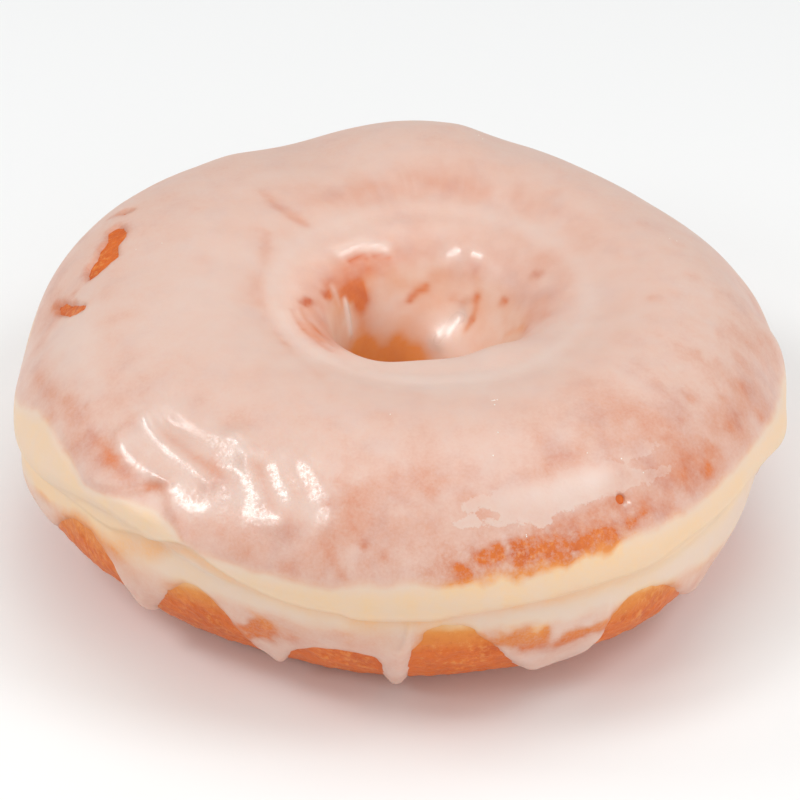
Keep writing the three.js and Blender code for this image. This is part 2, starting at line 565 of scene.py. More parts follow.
# (height in mm, azimuth, half width in degrees, reach, half breadth in mm)
DOUGH_LUMPS = [
    (0.45, 230, 5.0, 32.5, 3.2),
    (-0.75, 351, 5.0, 29.8, 3.5),
    (0.45, 359, 3.5, 29.5, 3.5),
    (-0.45, 7, 4.5, 28.2, 4.0),
    (0.9, 343.5, 6.0, 35.2, 3.0),
    (-0.8, 347, 8.0, 42.5, 3.5),
    (0.55, 168, 7.0, 27.5, 4.0),
    (-0.55, 72, 5.0, 17.0, 5.0),
    (0.25, 79, 3.0, 17.5, 4.0),
    (0.3, 122, 5.0, 21.0, 5.0),
    (1.5, 306, 20.0, -6.8, 3.6),
    (1.2, 271, 27.0, -6.8, 3.4),
    (0.6, 214, 8.0, 45.5, 3.0),
]
LUMP_HEIGHT, LUMP_SIZE = 0.14, 9
print("the dough has", len(DOUGH_LUMPS), "lumps of its own")

# %% Folds and lumps of the dough
lump_noise = make_noise(5)


def seam_distance(skin):
    """How far below the seam a point lies, in mm: negative on the roll above it."""
    return skin.reach - wave_level(skin.azimuth, SEAM_LINE)


def folds(skin):
    """The height of the dough's folds over the plain ring, in mm; the seam is sharpest at the front."""
    below = seam_distance(skin)
    sharp = 0.55 + 0.45 * fade_round(skin.azimuth, 262, 42)
    roll = SEAM_ROLL * fade(below, 2.0)
    hollow = -SEAM_HOLLOW * fade(below, 2.3)
    height = (roll + (hollow - roll) * smoothstep(below, -SEAM_SOFTNESS, SEAM_SOFTNESS)) * sharp
    for rise, azimuth, wide, reach, broad in DOUGH_LUMPS:
        height += rise * fade_round(skin.azimuth, azimuth, wide) * fade(skin.reach - reach, broad)
    height -= LEAF_CREASE_DEPTH * fade(stroke(skin, *LEAF_CREASE), LEAF_CREASE_WIDTH)
    height += LEAF_RIDGE_HEIGHT * fade(stroke(skin, *LEAF_RIDGE), LEAF_RIDGE_WIDTH)
    above_table = smoothstep(skin.points[..., 2], 1, 8)
    height += LUMP_HEIGHT * layered(lump_noise, skin.points, LUMP_SIZE, 2) * above_table
    return height


# %% [markdown]
# Oil browns the crown and the underside, but the waist floats above the oil line and stays pale. A
# painter would blend the two by hand. Here two wavy lines give the edge of the brown above the waist and
# below it, and noise makes both edges wander. Just under the seam the browning is raised a little more:
# partly browner dough, partly painted shade under the roll of the seam.

# %% Where the crust is brown and where it is pale
# (azimuth, reach) places along the top and the foot of the pale waist
BAND_TOP = [
    (0, 32.4), (8, 32.2), (30, 31.5), (55, 30.5), (80, 31.5), (110, 30.8), (135, 31.6), (160, 30.6),
    (172, 32.0), (181, 33.6), (188, 33.0), (196, 30.4), (201, 28.9), (206, 28.3), (211, 29.0), (216, 30.3),
    (219, 32.4), (221.5, 32.7), (224, 31.8), (227, 30.7), (230, 29.7), (232.6, 29.2), (235, 30.0),
    (239.5, 31.7), (244, 32.1), (250, 31.6), (260, 31.5), (270, 31.1), (280, 30.6), (290, 30.4),
    (302, 30.0), (313, 30.8), (328, 30.5), (344, 31.1), (352, 32.0),
]
BAND_FOOT = [
    (0, 42.5), (40, 40), (90, 41), (140, 40), (180, 41), (206, 40), (213, 39.8), (225, 41.8), (237, 40.8),
    (250, 39.2), (262, 39.4), (271, 39.6), (279, 39.0), (286, 39.2), (296, 39.4), (303, 39.2), (308, 39.6),
    (325, 42.0), (345, 43),
]
# (more browning, azimuth, half width in degrees, mm below the seam, half breadth in mm)
# under the seam: partly browner dough, partly painted shade under the roll
SEAM_TANS_AND_SHADE = [(0.26, 232, 14, 1.7, 2.2), (0.23, 280, 34, 0.9, 2.2)]


def browning_of(skin, wander):
    """How brown the crust is, from 0 to 1, with the edges moved by wander in mm, and painted shade under the
    seam.
    """
    # the brown fades out over a broader fringe at the orange patch
    fringe = 0.9 + 1.2 * fade_round(skin.azimuth, 288, 14)
    above = smoothstep(wave_level(skin.azimuth, BAND_TOP) - skin.reach + wander, -fringe, 1.3)
    past_foot = skin.reach - wave_level(skin.azimuth, BAND_FOOT) + wander
    below = 0.5 * smoothstep(past_foot, -0.8, 1.6) + 0.5 * smoothstep(past_foot, 0.5, 6)
    below_seam = seam_distance(skin)
    # browner dough and painted shade just under the seam
    tan = sum(
        more * fade_round(skin.azimuth, at, wide) * fade(below_seam - low, broad)
        for more, at, wide, low, broad in SEAM_TANS_AND_SHADE
    )
    return np.clip(above + below + tan, 0, 1)


waist_width = wave_level(270, BAND_FOOT) - wave_level(270, BAND_TOP)
print("the pale waist is", round(float(waist_width), 1), "mm wide in front")

# %% [markdown]
# The fried dough is the whole ring, sunk by the thickness of the glaze. Its crust is rough, with blisters
# about a millimetre across and pits between them. They could be left to a bump in the material, but the
# bare crust ends the outline at the bottom, where a bump does not show. Its rows are closest on the lower
# crust and on the torn shoulder, where no glaze hides them.

# %% The fried dough
GLAZE_MEAN = 0.45
CRUST_HEIGHT, CRUST_SIZE = 0.10, 2.4
BLISTER_HEIGHT, BLISTER_SIZE = 0.11, 1.0
DOUGH_AROUND = 560
DOUGH_ACROSS = 176
# (from, to, how much closer together the rows lie)
CLOSE_DOUGH_AZIMUTHS = [(198, 330, 2.0)]
CLOSE_DOUGH_REACHES = [(36, 58, 2.2), (16, 28, 1.4)]
dough_azimuths = crowded(0, 360, DOUGH_AROUND + 1, CLOSE_DOUGH_AZIMUTHS)[:-1]
lowest_reach = AT_CREASE - WALKED[-1]
dough_reaches = crowded(lowest_reach, AT_CREASE, DOUGH_ACROSS + 1, CLOSE_DOUGH_REACHES)[:-1]

crust_noise = make_noise(11)
blister_noise = make_noise(12)
dough_skin = Skin(dough_azimuths, dough_reaches)
above_foot = smoothstep(dough_skin.points[..., 2], 0.05, 1.5)
rough = CRUST_HEIGHT * layered(crust_noise, dough_skin.points, CRUST_SIZE)
rough += BLISTER_HEIGHT * layered(blister_noise, dough_skin.points, BLISTER_SIZE, 2)
rough += folds(dough_skin)
dough_surface = dough_skin.points + dough_skin.out * ((rough - GLAZE_MEAN) * above_foot)[..., None]
dough_browning = browning_of(dough_skin, 0.6 * layered(crust_noise, dough_skin.points, 5))
print("the crust is sunk or raised by", rough.min().round(2), "to", rough.max().round(2), "mm")

# %% [markdown]
# Each grid of points becomes a mesh of four-sided faces that closes on itself round the ring. Faces can
# be left out, which is how the glaze gets its holes. Numbers such as the browning are stored at the
# points of the mesh as attributes, so that the material can read them without any image.

# %% From a grid to a mesh
def grid_mesh(name, points, closed_section, keep=None):
    """A mesh over a grid of points, with the faces where keep is true, and the places it used."""
    around, across = points.shape[:2]
    i = np.arange(around)[:, None]
    j = np.arange(across if closed_section else across - 1)[None, :]
    i_next, j_next = (i + 1) % around, (j + 1) % across
    corners = [i * across + j, i * across + j_next, i_next * across + j_next, i_next * across + j]
    quads = np.stack(corners, axis=-1).reshape(-1, 4)
    if keep is not None:
        quads = quads[keep.reshape(-1)[quads].any(axis=1)]
    used = np.unique(quads)
    place = np.full(around * across, -1)
    place[used] = np.arange(len(used))
    mesh = bpy.data.meshes.new(name)
    mesh.from_pydata((points.reshape(-1, 3)[used] * MM).tolist(), [], place[quads].tolist())
    mesh.polygons.foreach_set("use_smooth", [True] * len(mesh.polygons))
    mesh.update()
    piece = bpy.data.objects.new(name, mesh)
    bpy.context.scene.collection.objects.link(piece)
    print(name, "has", len(mesh.polygons), "faces")
    return piece, used


def paint(piece, used, name, values):
    """Stores one number for each point of the piece, for its material to read."""
    layer = piece.data.attributes.new(name, "FLOAT", "POINT")
    layer.data.foreach_set("value", values.reshape(-1)[used].astype(np.float32))


# %% [markdown]
# The glaze was poured on warm and ran down the wall in tongues. A fluid simulation could pour it again,
# but not to the same tongues. So its lower edge is one wavy line: low at the tip of each tongue, high
# over each bare arch of crust, and right down to the foot at the one long drip. Under the ring it ends
# before the table.

# %% Where the glaze ends at the bottom
# (azimuth, reach) places along the lower edge
SKIRT = [
    (2, 52), (8, 50), (14, 44), (20, 42), (27, 45), (33, 52), (40, 54), (47, 50), (52, 44), (60, 41),
    (68, 44), (73, 50), (80, 55), (88, 53), (94, 46), (102, 42), (110, 44), (115, 50), (122, 54), (130, 50),
    (137, 45), (144, 41), (152, 43), (158, 49), (164, 55), (172, 52), (180, 45), (188, 43), (194, 46.5),
    (200, 47), (205, 44.8), (208.5, 42.1), (212.5, 41.0), (217, 41.9), (219.8, 43.4), (221.4, 46.5),
    (223.3, 50.3), (225.4, 50.3), (227.2, 48.2), (230.2, 45.4), (232.2, 43.6), (234.4, 42.1), (237, 41.2),
    (240, 41.8), (242, 43.5), (243.2, 46), (244.6, 48.4), (246.2, 50.4), (248.4, 53), (250, 52.6),
    (251.2, 50.2), (253, 47.6), (255.4, 45.8), (258, 44.8), (261, 44.5), (264, 44.7), (266.1, 45.1),
    (267.2, 46.5), (267.6, 50), (268, 55), (269.8, 58), (271.2, 55), (271.5, 50), (271.8, 46),
    (272.1, 43), (272.9, 41.6), (273.7, 40.1), (275.4, 39.3), (278, 38.8), (280, 39.0), (281.6, 40.5),
    (284, 42.6), (286.4, 45.8), (288.5, 49), (292, 53), (297, 53), (300.3, 50.4), (301.2, 47),
    (301.5, 44.2), (301.9, 42.3), (303.6, 40.5), (306, 39.7), (308.6, 39.9), (311.6, 41.0), (314.4, 42.9),
    (316.8, 45.4), (319.6, 48.2), (323, 50.6),
    (330, 50.6), (340, 47), (346, 44), (352, 48),
]
WALL_RADIUS = 45
EDGE_BAND = 16
EDGE_OVERLAP = 20
EDGE_BATCH = 4000


def skirt_distance(skin):
    """How far inside the glaze's lower edge each point is, in mm: negative on the bare crust below it."""
    edge = closed_wave(SKIRT)
    inside = np.interp(skin.azimuth, edge[:, 0], edge[:, 1], period=360) - skin.reach
    near = abs(inside) < EDGE_BAND
    here = np.stack([np.radians(skin.azimuth[near]) * WALL_RADIUS, skin.reach[near]], axis=-1)
    edge = np.vstack([edge + (-360, 0), edge, edge + (360, 0)])
    edge = edge[(edge[:, 0] > -EDGE_OVERLAP) & (edge[:, 0] < 360 + EDGE_OVERLAP)]
    edge = edge * (np.radians(1) * WALL_RADIUS, 1)
    nearest = np.full(len(here), FAR)
    for start in range(0, len(here), EDGE_BATCH):
        part = here[start:start + EDGE_BATCH, None, :]
        nearest[start:start + EDGE_BATCH] = np.sqrt(((part - edge[None]) ** 2).sum(axis=-1).min(axis=1))
    inside[near] = np.sign(inside[near]) * nearest
    return inside


edge_levels = [level for _, level in SKIRT]
print("the lower edge lies from reach", min(edge_levels), "to", max(edge_levels))

# %% [markdown]
# The glaze has a grid of its own, from deep in the hole to under the foot. It is finest over the front,
# where the folds and the tongues are, and at the burst bubble, which is only a millimetre wide.

# %% The grid of the glaze
BUBBLE = (304.9, 25.9)
GLAZE_FROM, GLAZE_TO = -27, 59.5
GLAZE_AROUND = 640
GLAZE_ACROSS = 184
# (from, to, how much closer together the rows lie)
CLOSE_GLAZE_AZIMUTHS = [(200, 325, 1.6), (BUBBLE[0] - 1.2, BUBBLE[0] + 1.2, 4)]
CLOSE_GLAZE_REACHES = [(16, 54, 1.0), (4, 15, -0.35), (BUBBLE[1] - 0.9, BUBBLE[1] + 0.9, 2)]
glaze_azimuths = crowded(0, 360, GLAZE_AROUND + 1, CLOSE_GLAZE_AZIMUTHS)[:-1]
glaze_reaches = crowded(GLAZE_FROM, GLAZE_TO, GLAZE_ACROSS, CLOSE_GLAZE_REACHES)
glaze_skin = Skin(glaze_azimuths, glaze_reaches)
coat_noise = make_noise(21)
edge_noise = make_noise(22)
azimuth, reach, points = glaze_skin.azimuth, glaze_skin.reach, glaze_skin.points
print("the glaze starts as", points.shape[0], "by", points.shape[1], "points")

# %% [markdown]
# Now the thickness of the sugar. It is about half a millimetre everywhere, swells to a rounded lip along
# the tongues, hangs thicker at their tips and pools as a bead in the crease. A solidify modifier would
# give a sheet with the same thickness everywhere. Here the thickness is one more height over the grid.
# Below the edge it goes negative, so the sheet dives under the crust, and the edge you see is where the
# two surfaces cross.

# %% Thickness of the glaze
EDGE_WIDTH = 0.55
EDGE_RAGGED = 0.22
COAT_UNEVEN = 0.07
LIP_SWELL = 0.26
TIP_SWELL = 0.4
DRIP_SWELL = 0.6
BEAD_SWELL = 0.30
BEAD_REACH = -1.0
TONGUE_TIPS = [(225, 48.2), (250, 51.8), (293, 50), (324, 48), (40, 51), (80, 52), (122, 51), (165, 52)]
LONG_DRIP = [(269.8, 41), (269.8, 55.5)]


def dives(inside, width):
    """A share that is 1 well inside an edge, 0 on it, and negative outside it."""
    share = np.where(inside > 0, 1 - np.exp(-np.maximum(inside, 0) / width), inside / width)
    return np.maximum(share, -2)


inside = skirt_distance(glaze_skin) + EDGE_RAGGED * layered(edge_noise, points, 1.6, 2)
skirt_level = wave_level(azimuth, SKIRT)
tongue = smoothstep(skirt_level, 44, 51)
lip = LIP_SWELL * tongue * fade(inside - 1.2, 1.5) * (inside > -1)
thickness = (GLAZE_MEAN + COAT_UNEVEN * layered(coat_noise, points, 9, 2) + lip) * dives(inside, EDGE_WIDTH)
for tip in TONGUE_TIPS:
    thickness += TIP_SWELL * fade(stroke(glaze_skin, tip), 2.0) * (inside > 0)
drip = fade(stroke(glaze_skin, *LONG_DRIP), 1.35) * smoothstep(reach, 38, 46)
thickness += DRIP_SWELL * drip * smoothstep(inside, 0, 0.8)
bead = fade(reach - BEAD_REACH + 0.5 * coat_noise(points, 9), 1.3)
thickness += BEAD_SWELL * bead * (1 + 0.3 * coat_noise(points, 6))
print("the glaze is at most", round(float(thickness.max()), 2), "mm thick")

# %% [markdown]
# Sugar glaze is milky. Where it lies thick it looks white, where it is thin the brown crust shines
# through and turns it pink. Blender could work that out with real scattering, but slowly, and the colour
# would be hard to steer. So a second number beside the thickness, the cover, says how milky each place
# looks. Each zone below adds to it or takes from it over one part of the ring. A few zones and strokes
# also paint light or shade into the cover, and each of them says so.

# %% Cover: how milky the glaze looks, with some painted light, zone by zone
PLAIN_COVER = 0.318
BEAD_COVER = 0.11
HOLE_THINNER = 0.07
CLOUD_COVER, CLOUD_SIZE = 0.035, 6.5
MOTTLE_COVER, FRONT_MOTTLE_COVER, MOTTLE_SIZE = 0.030, 0.035, 2.6
# (more cover, azimuth, half width in degrees, reach, half breadth in mm)
COVER_AND_PAINTED_LIGHT_ZONES = {
    "pool on the left of the crown": (0.10, 185, 38, 8, 7),
    "pool at the front of the crease": (0.12, 285, 45, 1, 4),
    # much of this pool's whiteness is a painted sheen on the left shoulder
    "pool and painted sheen on the left shoulder": (0.20, 192, 9, 21.8, 3.2),
    "back of the crown": (0.03, 75, 30, 17, 4),
    "groove behind the hole": (-0.13, 86, 34, 2.8, 2.6),
    "right of the crown": (-0.04, 305, 18, 12, 8),
    "upper front wall": (-0.065, 280, 50, 20, 5),
    "lower front wall": (-0.15, 275, 48, 28, 5),
    "right wall": (-0.11, 332, 26, 27, 7),
    "left corner": (-0.12, 212, 14, 27, 4),
    "left wall": (-0.09, 178, 14, 28, 3.5),
    "orange patch at the front": (-0.11, 290, 12, 29.0, 1.5),
    "under the seam at the front left": (-0.13, 240, 11, 38.6, 2.4),
    "left of the hole": (-0.13, 160, 40, -8, 4),
    "front left of the hole": (-0.11, 208, 13, -4.6, 1.5),
    "front lip of the hole": (0.16, 268, 42, -7, 3.0),
    "back right of the crown": (0.05, 35, 45, 15, 6),
    "inner slope at the right": (-0.05, 40, 35, -3.5, 2),
    # painted light: the deep right side of the hole is made milkier and lighter, as if more light reached it
    "painted light on the right side of the hole": (0.10, 20, 40, -19, 5),
    "back right of the hole": (0.10, 57, 20, -18.5, 2.5),
    "golden left of the hole": (-0.08, 165, 18, -16, 3.2),
    # painted shade: the back left lip of the hole is thinned so that it looks darker, as if in shade
    "painted shade on the back left lip of the hole": (-0.03, 136, 26, -7.4, 2.2),
    "left wall of the hole": (0.03, 182, 14, -11, 2.5),
    "front left lip of the hole": (0.08, 240, 13, -7, 2.5),
    "left lip of the hole": (-0.10, 214, 15, -5.5, 2.8),
    "front right lip of the hole": (0.06, 316, 18, -7, 2.6),
}
cloud = layered(coat_noise, points, CLOUD_SIZE, 3)
mottle = layered(edge_noise, points, MOTTLE_SIZE, 3)
# the bead is milky, but less so behind the hole
cover = PLAIN_COVER + BEAD_COVER * bead * (1 - 0.7 * fade_round(azimuth, 95, 70))
for more, at_azimuth, wide, at_reach, broad in COVER_AND_PAINTED_LIGHT_ZONES.values():
    zone = fade_round(azimuth, at_azimuth, wide) * fade(reach - at_reach, broad)
    cover += more * zone * (1 + 0.5 * cloud)
cover -= HOLE_THINNER * smoothstep(-reach, 4, 8)
cover -= CLOUD_COVER * cloud
# the front wall is the most mottled
front_wall = smoothstep(reach, 9, 17) * fade_round(azimuth, 280, 75)
cover -= (MOTTLE_COVER + FRONT_MOTTLE_COVER * front_wall) * mottle
print(len(COVER_AND_PAINTED_LIGHT_ZONES), "zones; the cover runs from", cover.min().round(2), "to", cover.max().round(2))

# %% [markdown]
# The sugar ran downhill before it set, which leaves faint streaks down the right wall, on the left
# shoulder and across the groove behind the hole. Noise taken in a space that is drawn out downhill gives
# such streaks at no cost. A second noise, less drawn out, gives faint freckles, where bubbles and crumbs
# thin the coat.

# %% Streaks and freckles
STREAK_COVER = 0.085
FRECKLE_COVER = 0.045
# freckles are shorter than streaks, so the downhill axis is drawn in again
FRECKLE_SQUEEZE = (1, 1, 3.4)
streak_noise = make_noise(31)
streaks = layered(streak_noise, glaze_skin.flow, 1.9, 3)
streaky = 0.7 * fade_round(azimuth, 337, 26) * smoothstep(reach, 9, 18)
streaky += 0.5 * fade_round(azimuth, 90, 40) * fade(reach - 3, 2.4)
streaky += 0.5 * fade_round(azimuth, 205, 30) * smoothstep(reach, 14, 24)
cover += STREAK_COVER * streaks * streaky

freckle_noise = make_noise(33)
freckle_height = freckle_noise(glaze_skin.flow * FRECKLE_SQUEEZE, 1.9) + 0.25 * edge_noise(points, 4)
freckles = smoothstep(freckle_height, 0.36, 0.85)
freckled = 0.22 + 1.0 * fade_round(azimuth, 350, 34) * smoothstep(reach, 4, 12)
cover -= FRECKLE_COVER * freckles * freckled * smoothstep(reach, 1, 5)
print("freckles lie on", round(100 * float((freckles > 0.5).mean())), "percent of the grid")

# %% [markdown]
# The larger pink spots are too few and too plain to leave to noise, so each is set one by one as a soft
# disc. Noise changes its radius a little, so that none is round.

# %% Spots
# (less cover, radius in mm, azimuth, reach)
SPOTS = [
    (0.10, 1.2, 27, 12.0), (0.09, 1.3, 52, 6.8), (0.07, 1.2, 16.5, 4.1), (0.08, 0.9, 150, 11.6),
    (0.10, 1.5, 171, 7.6), (0.08, 1.0, 176, 6.8), (0.07, 1.6, 189, 17.3), (0.11, 0.9, 352, 7.6),
    (0.08, 0.9, 354.5, 11.4), (0.05, 0.8, 324, 5.6), (0.05, 0.8, 321, 9.3), (0.07, 0.7, 338.5, 16.8),
    (0.06, 0.7, 337, 13.5), (0.06, 0.9, 337.5, 10.5), (0.06, 0.6, 348, 18.4), (0.07, 0.9, 16, 14.7),
    (0.06, 0.9, 2, 14.1), (0.11, 1.0, 340, 24.7), (0.10, 0.7, 333, 22.9), (0.09, 0.9, 327.5, 20.2),
    (0.07, 0.7, 333.5, 26.0), (0.07, 0.7, 322.5, 21.4), (0.07, 0.8, 330.5, 26.3), (0.06, 0.7, 338.5, 29.3),
    (0.05, 0.7, 345, 22.0), (0.05, 0.6, 352, 21.0), (0.05, 0.6, 358, 17.5), (0.05, 0.6, 331, 17.0),
    (0.06, 0.7, 317.4, 22.2), (0.16, 0.6, 258, 22.3), (0.03, 1.3, 212, 23.6), (0.12, 0.7, 265, 26.6),
    (0.12, 0.8, 268, 27.8), (0.08, 1.4, 274, 20.2), (0.04, 0.5, 318, 26.6), (0.04, 1.0, 313.0, 28.0),
    (0.09, 0.9, 262, 30.2), (0.10, 0.7, 274, 29.6), (0.06, 1.8, 206, 19.5), (0.06, 0.5, 209, 23.4),
]
for less, radius, *place in SPOTS:
    cover -= less * fade(stroke(glaze_skin, place), radius * (1 + 0.3 * mottle))
print(len(SPOTS), "spots")

# %% [markdown]
# The pale waist has a thin coat over pale dough, so it looks cream. Below the seam the coat gathers again
# and hangs in tongues. At the top of each bare arch it thins away to nothing. Under the glaze lies the
# same crust as on the bare dough, so its browning is worked out again on the glaze's own grid; deep in
# the hole it is paler.

# %% Cover on the waist and the tongues
WAIST_THINNER = 0.70
RIM_THINNER = 0.75
band_top = wave_level(azimuth, BAND_TOP)
below_seam = seam_distance(glaze_skin)
# the thin coat runs on to 2 mm below the seam, but hardly past it in front
waist_end = 2.0 - 1.7 * fade_round(azimuth, 276, 24)
waist = smoothstep(reach - band_top, -0.3, 1.8) * (1 - smoothstep(below_seam - waist_end, 0.0, 2.8))
cover *= 1 - WAIST_THINNER * waist * (1 + 0.25 * streaks)
# the lower wall is thin, but the tips of the tongues are milky
cover -= 0.06 * smoothstep(reach, 36, 39) - 0.05 * tongue * smoothstep(reach, 43, 48)
thin_rim = fade(inside, 1.0) * (1 - smoothstep(skirt_level, 42.5, 45.5))
cover *= 1 - RIM_THINNER * thin_rim

# %% Browning under the glaze
frayed = 0.45 * layered(crust_noise, points, 4)
frayed += 0.6 * layered(edge_noise, points, 1.6, 2) * fade_round(azimuth, 289, 16)
browning = browning_of(glaze_skin, frayed)
browning *= 1 - 0.5 * smoothstep(-reach, 7, 11)
print("the crust is brown under", round(100 * float((browning > 0.5).mean())), "percent of the glaze")

# %% [markdown]
# Sugar also thins in lines: along the groove behind the bead, in the wrinkles on the left shoulder, along
# the edge of the leaf and on the lip of the hole. A line that is thin looks pink and lies a little lower,
# so each one takes from the cover and from the thickness together. The lines in the leaf's crease are
# also a painted shade in the crease.

# %% Pink lines, and painted shade in the leaf's crease
# (less cover, half width in mm, path)
PINK_LINES_AND_CREASE_SHADE = [
    (0.13, 0.75, [(135, 8.2), (137.5, 5.8), (138, 3.0), (137, 1.0)]),
    (0.09, 0.9, [(150, 3.0), (160, 1.5), (170, 0.6), (180, 0.3), (192, 0.0), (204, 0.2), (214, 0.8)]),
    (0.06, 0.8, [(214, 0.8), (226, 2.0), (236, 3.4), (243, 4.8)]),
    (0.07, 1.4, [(172, 1.5), (188, 1.2)]),
    (0.05, 1.2, [(252, 2.8), (266, 3.0)]),
    (0.08, 0.40, [(188, -4.6), (196, -4.7), (205, -5.2), (213, -5.8)]),
    (0.10, 0.34, [(191, -3.0), (199, -3.1), (206, -3.4)]),
    (0.09, 0.36, [(207, -3.1), (216, -3.6), (226, -3.1)]),
    (0.08, 0.40, [(236, -1.6), (243, -1.4)]),
    (0.05, 1.6, [(200, 26.4), (206, 24.2), (212, 23.2)]),
    (0.04, 1.5, [(216, 24.2), (221, 27.5), (224.5, 30.2)]),
    # in the leaf's crease: thinner sugar, and partly a painted shade in the crease
    (0.05, 0.9, LEAF_CREASE[3:]),
    (0.12, 0.7, LEAF_CREASE[5:]),
    (0.10, 0.9, [(232.6, 26.3), (236, 28.6), (238.5, 30.8)]),
    (0.06, 1.0, [(190, 28.2), (198, 26.6), (204, 24.8)]),
    (0.10, 0.7, [(348, -9.5), (355, -10.4), (2, -12.6)]),
    (0.06, 0.7, [(350, -6.2), (356, -6.8)]),
]
for less, half_width, path in PINK_LINES_AND_CREASE_SHADE:
    away = stroke(glaze_skin, *path)
    cover -= less * fade(away, half_width * (1 + 0.3 * mottle))
    thickness -= 0.5 * less * fade(away, half_width)
print(len(PINK_LINES_AND_CREASE_SHADE), "pink lines")

# %% [markdown]
# Where the glaze nearly wore through, the crust shows orange: a ragged row of flecks low on the front
# wall, and windows in the tongues. They are drawn as short soft strokes that overlap, because worn sugar
# leaves islands and not one clean shape. A stroke with less than nothing to take puts a bridge of sugar
# back.

# %% Thin places where the crust shines through
# (less cover, half width in mm, path)
THIN_PLACES = [
    (0.22, 0.55, [(278.8, 29.5), (279.6, 30.3)]),
    (0.20, 0.95, [(282.3, 28.3), (284.4, 27.6)]),
    (0.14, 0.5, [(284.2, 27.2), (284.8, 28.0)]),
    (0.24, 0.6, [(286.9, 27.5), (287.3, 28.6)]),
    (0.30, 0.95, [(287.8, 28.9), (289.3, 29.7)]),
    (0.16, 0.6, [(288.4, 27.4), (290.0, 27.7)]),
    (0.26, 0.75, [(292.2, 29.7), (294.0, 29.2)]),
    (0.26, 0.65, [(295.6, 29.2), (298.5, 29.3), (301.2, 29.0)]),
    (0.18, 0.5, [(299.8, 29.7), (300.8, 29.7)]),
    (0.15, 0.6, [(304.4, 28.8), (307.8, 28.4)]),
    (0.06, 1.5, [(281, 28.4), (289, 28.2), (301, 28.3)]),
    (0.13, 1.0, [(277, 31.2), (281, 31.2), (288, 30.9), (291, 31.0), (297, 30.6), (302, 30.4)]),
    (-0.10, 0.35, [(285.5, 26.4), (285.6, 28.0)]),
    (0.10, 0.65, [(321.2, 28.9), (321.9, 28.3)]),
    (0.27, 1.3, [(286.4, 41.6), (290.4, 41.3)]),
    (0.30, 1.4, [(295.0, 42.8), (300.2, 42.3)]),
    (0.10, 1.6, [(288, 42.8), (294, 43.2)]),
    (-0.10, 1.0, [(301.6, 26.6), (302.6, 27.2)]),
    (0.07, 1.2, [(294, 26.5), (299, 26.2), (303, 26.4)]),
    (0.07, 1.3, [(318, 42), (324, 42.3), (330, 42)]),
    (0.12, 1.2, [(202, 40.2), (206, 39.8)]),
    (0.36, 1.8, [(248.6, 43.2), (246.6, 44.6), (244.8, 46.0)]),
]
for less, half_width, path in THIN_PLACES:
    cover -= less * fade(stroke(glaze_skin, *path), half_width * (1 + 0.5 * mottle))
print(len(THIN_PLACES), "thin places")

# %% [markdown]
# Inside the hole the coat is thin, so the sugar dragged over it shows as orange marks and swirls. The
# marks are strokes again. They also brown the crust below them, because there the oil reached it. The
# swirls between them are noise.

# %% Marks and swirls inside the hole
SWIRL_COVER = 0.08
SWIRL_SQUEEZE = (1, 1, 1.6)
LEAST_COVER = 0.02
# (less cover, half width in mm, path)
HOLE_MARKS = [
    (0.17, 3.5, [(76, -23.2), (90, -22.6), (100, -21.8)]),
    (0.06, 3.0, [(54, -22.4), (70, -21.8)]),
    (0.12, 0.9, [(101, -21.8), (98, -19.0)]),
    (0.13, 3.2, [(100, -21.6), (118, -20.8), (140, -20.2)]),
    (0.07, 1.4, [(66, -20.6), (74, -20.4)]),
    (0.16, 1.6, [(137, -21.0), (134, -16.0), (137, -13.0)]),
    (0.21, 1.4, [(134.5, -11.9), (137, -10.8), (143, -10.3), (149, -9.9)]),
    (0.16, 0.9, [(136, -10.5), (142, -10.1)]),
    (0.11, 0.7, [(66, -13.3), (60, -13.5), (54.5, -12.9), (50, -12.1)]),
    (0.13, 0.6, [(50, -12.2), (46, -13.4), (43.2, -14.6)]),
    (0.26, 0.65, [(43, -15.0), (43.6, -16.2)]),
    (0.10, 0.6, [(103, -14.3), (97, -14.0)]),
    (0.22, 0.62, [(96, -13.8), (92.5, -12.9), (87, -12.4)]),
    (0.08, 0.9, [(85, -10.9), (75, -10.4)]),
    (0.24, 0.65, [(28, -10.8), (30, -10.9)]),
    (0.05, 1.8, [(30, -9.0), (36, -9.6)]),
    (0.12, 0.8, [(24.5, -5.7), (26.5, -6.1)]),
    (0.26, 0.66, [(162, -8.3), (164.5, -8.0)]),
    (0.05, 0.8, [(151, -7.4), (157, -7.6)]),
    (0.06, 1.4, [(160, -6.6), (167, -6.4), (174, -6.6)]),
    (0.28, 0.75, [(178.5, -5.8), (183, -5.1)]),
    (0.12, 0.42, [(134, -6.5), (129, -6.6), (125, -7.0)]),
    (0.09, 0.42, [(120, -7.4), (112, -7.8)]),
    (0.05, 1.2, [(125, -9.2), (116, -10.1)]),
    (0.03, 1.3, [(112, -8.4), (120, -7.9), (135, -7.6), (152, -7.2)]),
    (0.07, 1.4, [(52, -9.4), (58, -10.4), (66, -10.0)]),
    (0.06, 0.6, [(60, -9.0), (66, -8.2)]),
    (0.04, 1.2, [(203, -3.6), (210, -3.7), (217, -3.6)]),
]
marked = np.zeros_like(cover)
for less, half_width, path in HOLE_MARKS:
    mark = less * fade(stroke(glaze_skin, *path), half_width)
    cover -= mark
    marked += mark
swirls = layered(streak_noise, points * SWIRL_SQUEEZE, 3.2, 3)
cover += SWIRL_COVER * swirls * smoothstep(-reach, 5, 9)
# a milky place on the back wall of the hole
cover += 0.07 * fade_round(azimuth, 108, 16) * fade(reach + 14.5, 3.0)
cover = np.maximum(cover, LEAST_COVER)
browning += 1.5 * marked * (1 - smoothstep(-reach, 13, 18))
print(len(HOLE_MARKS), "marks inside the hole")

# %% [markdown]
# A few places have no glaze at all. Two patches on the left shoulder were torn bare, with a small sliver
# beside them, and a burst bubble left a round hole in the front. A boolean would cut them with a sharp
# wall. Here the thickness dives below the crust inside each outline, as it does at the lower edge, so the
# rims are soft.

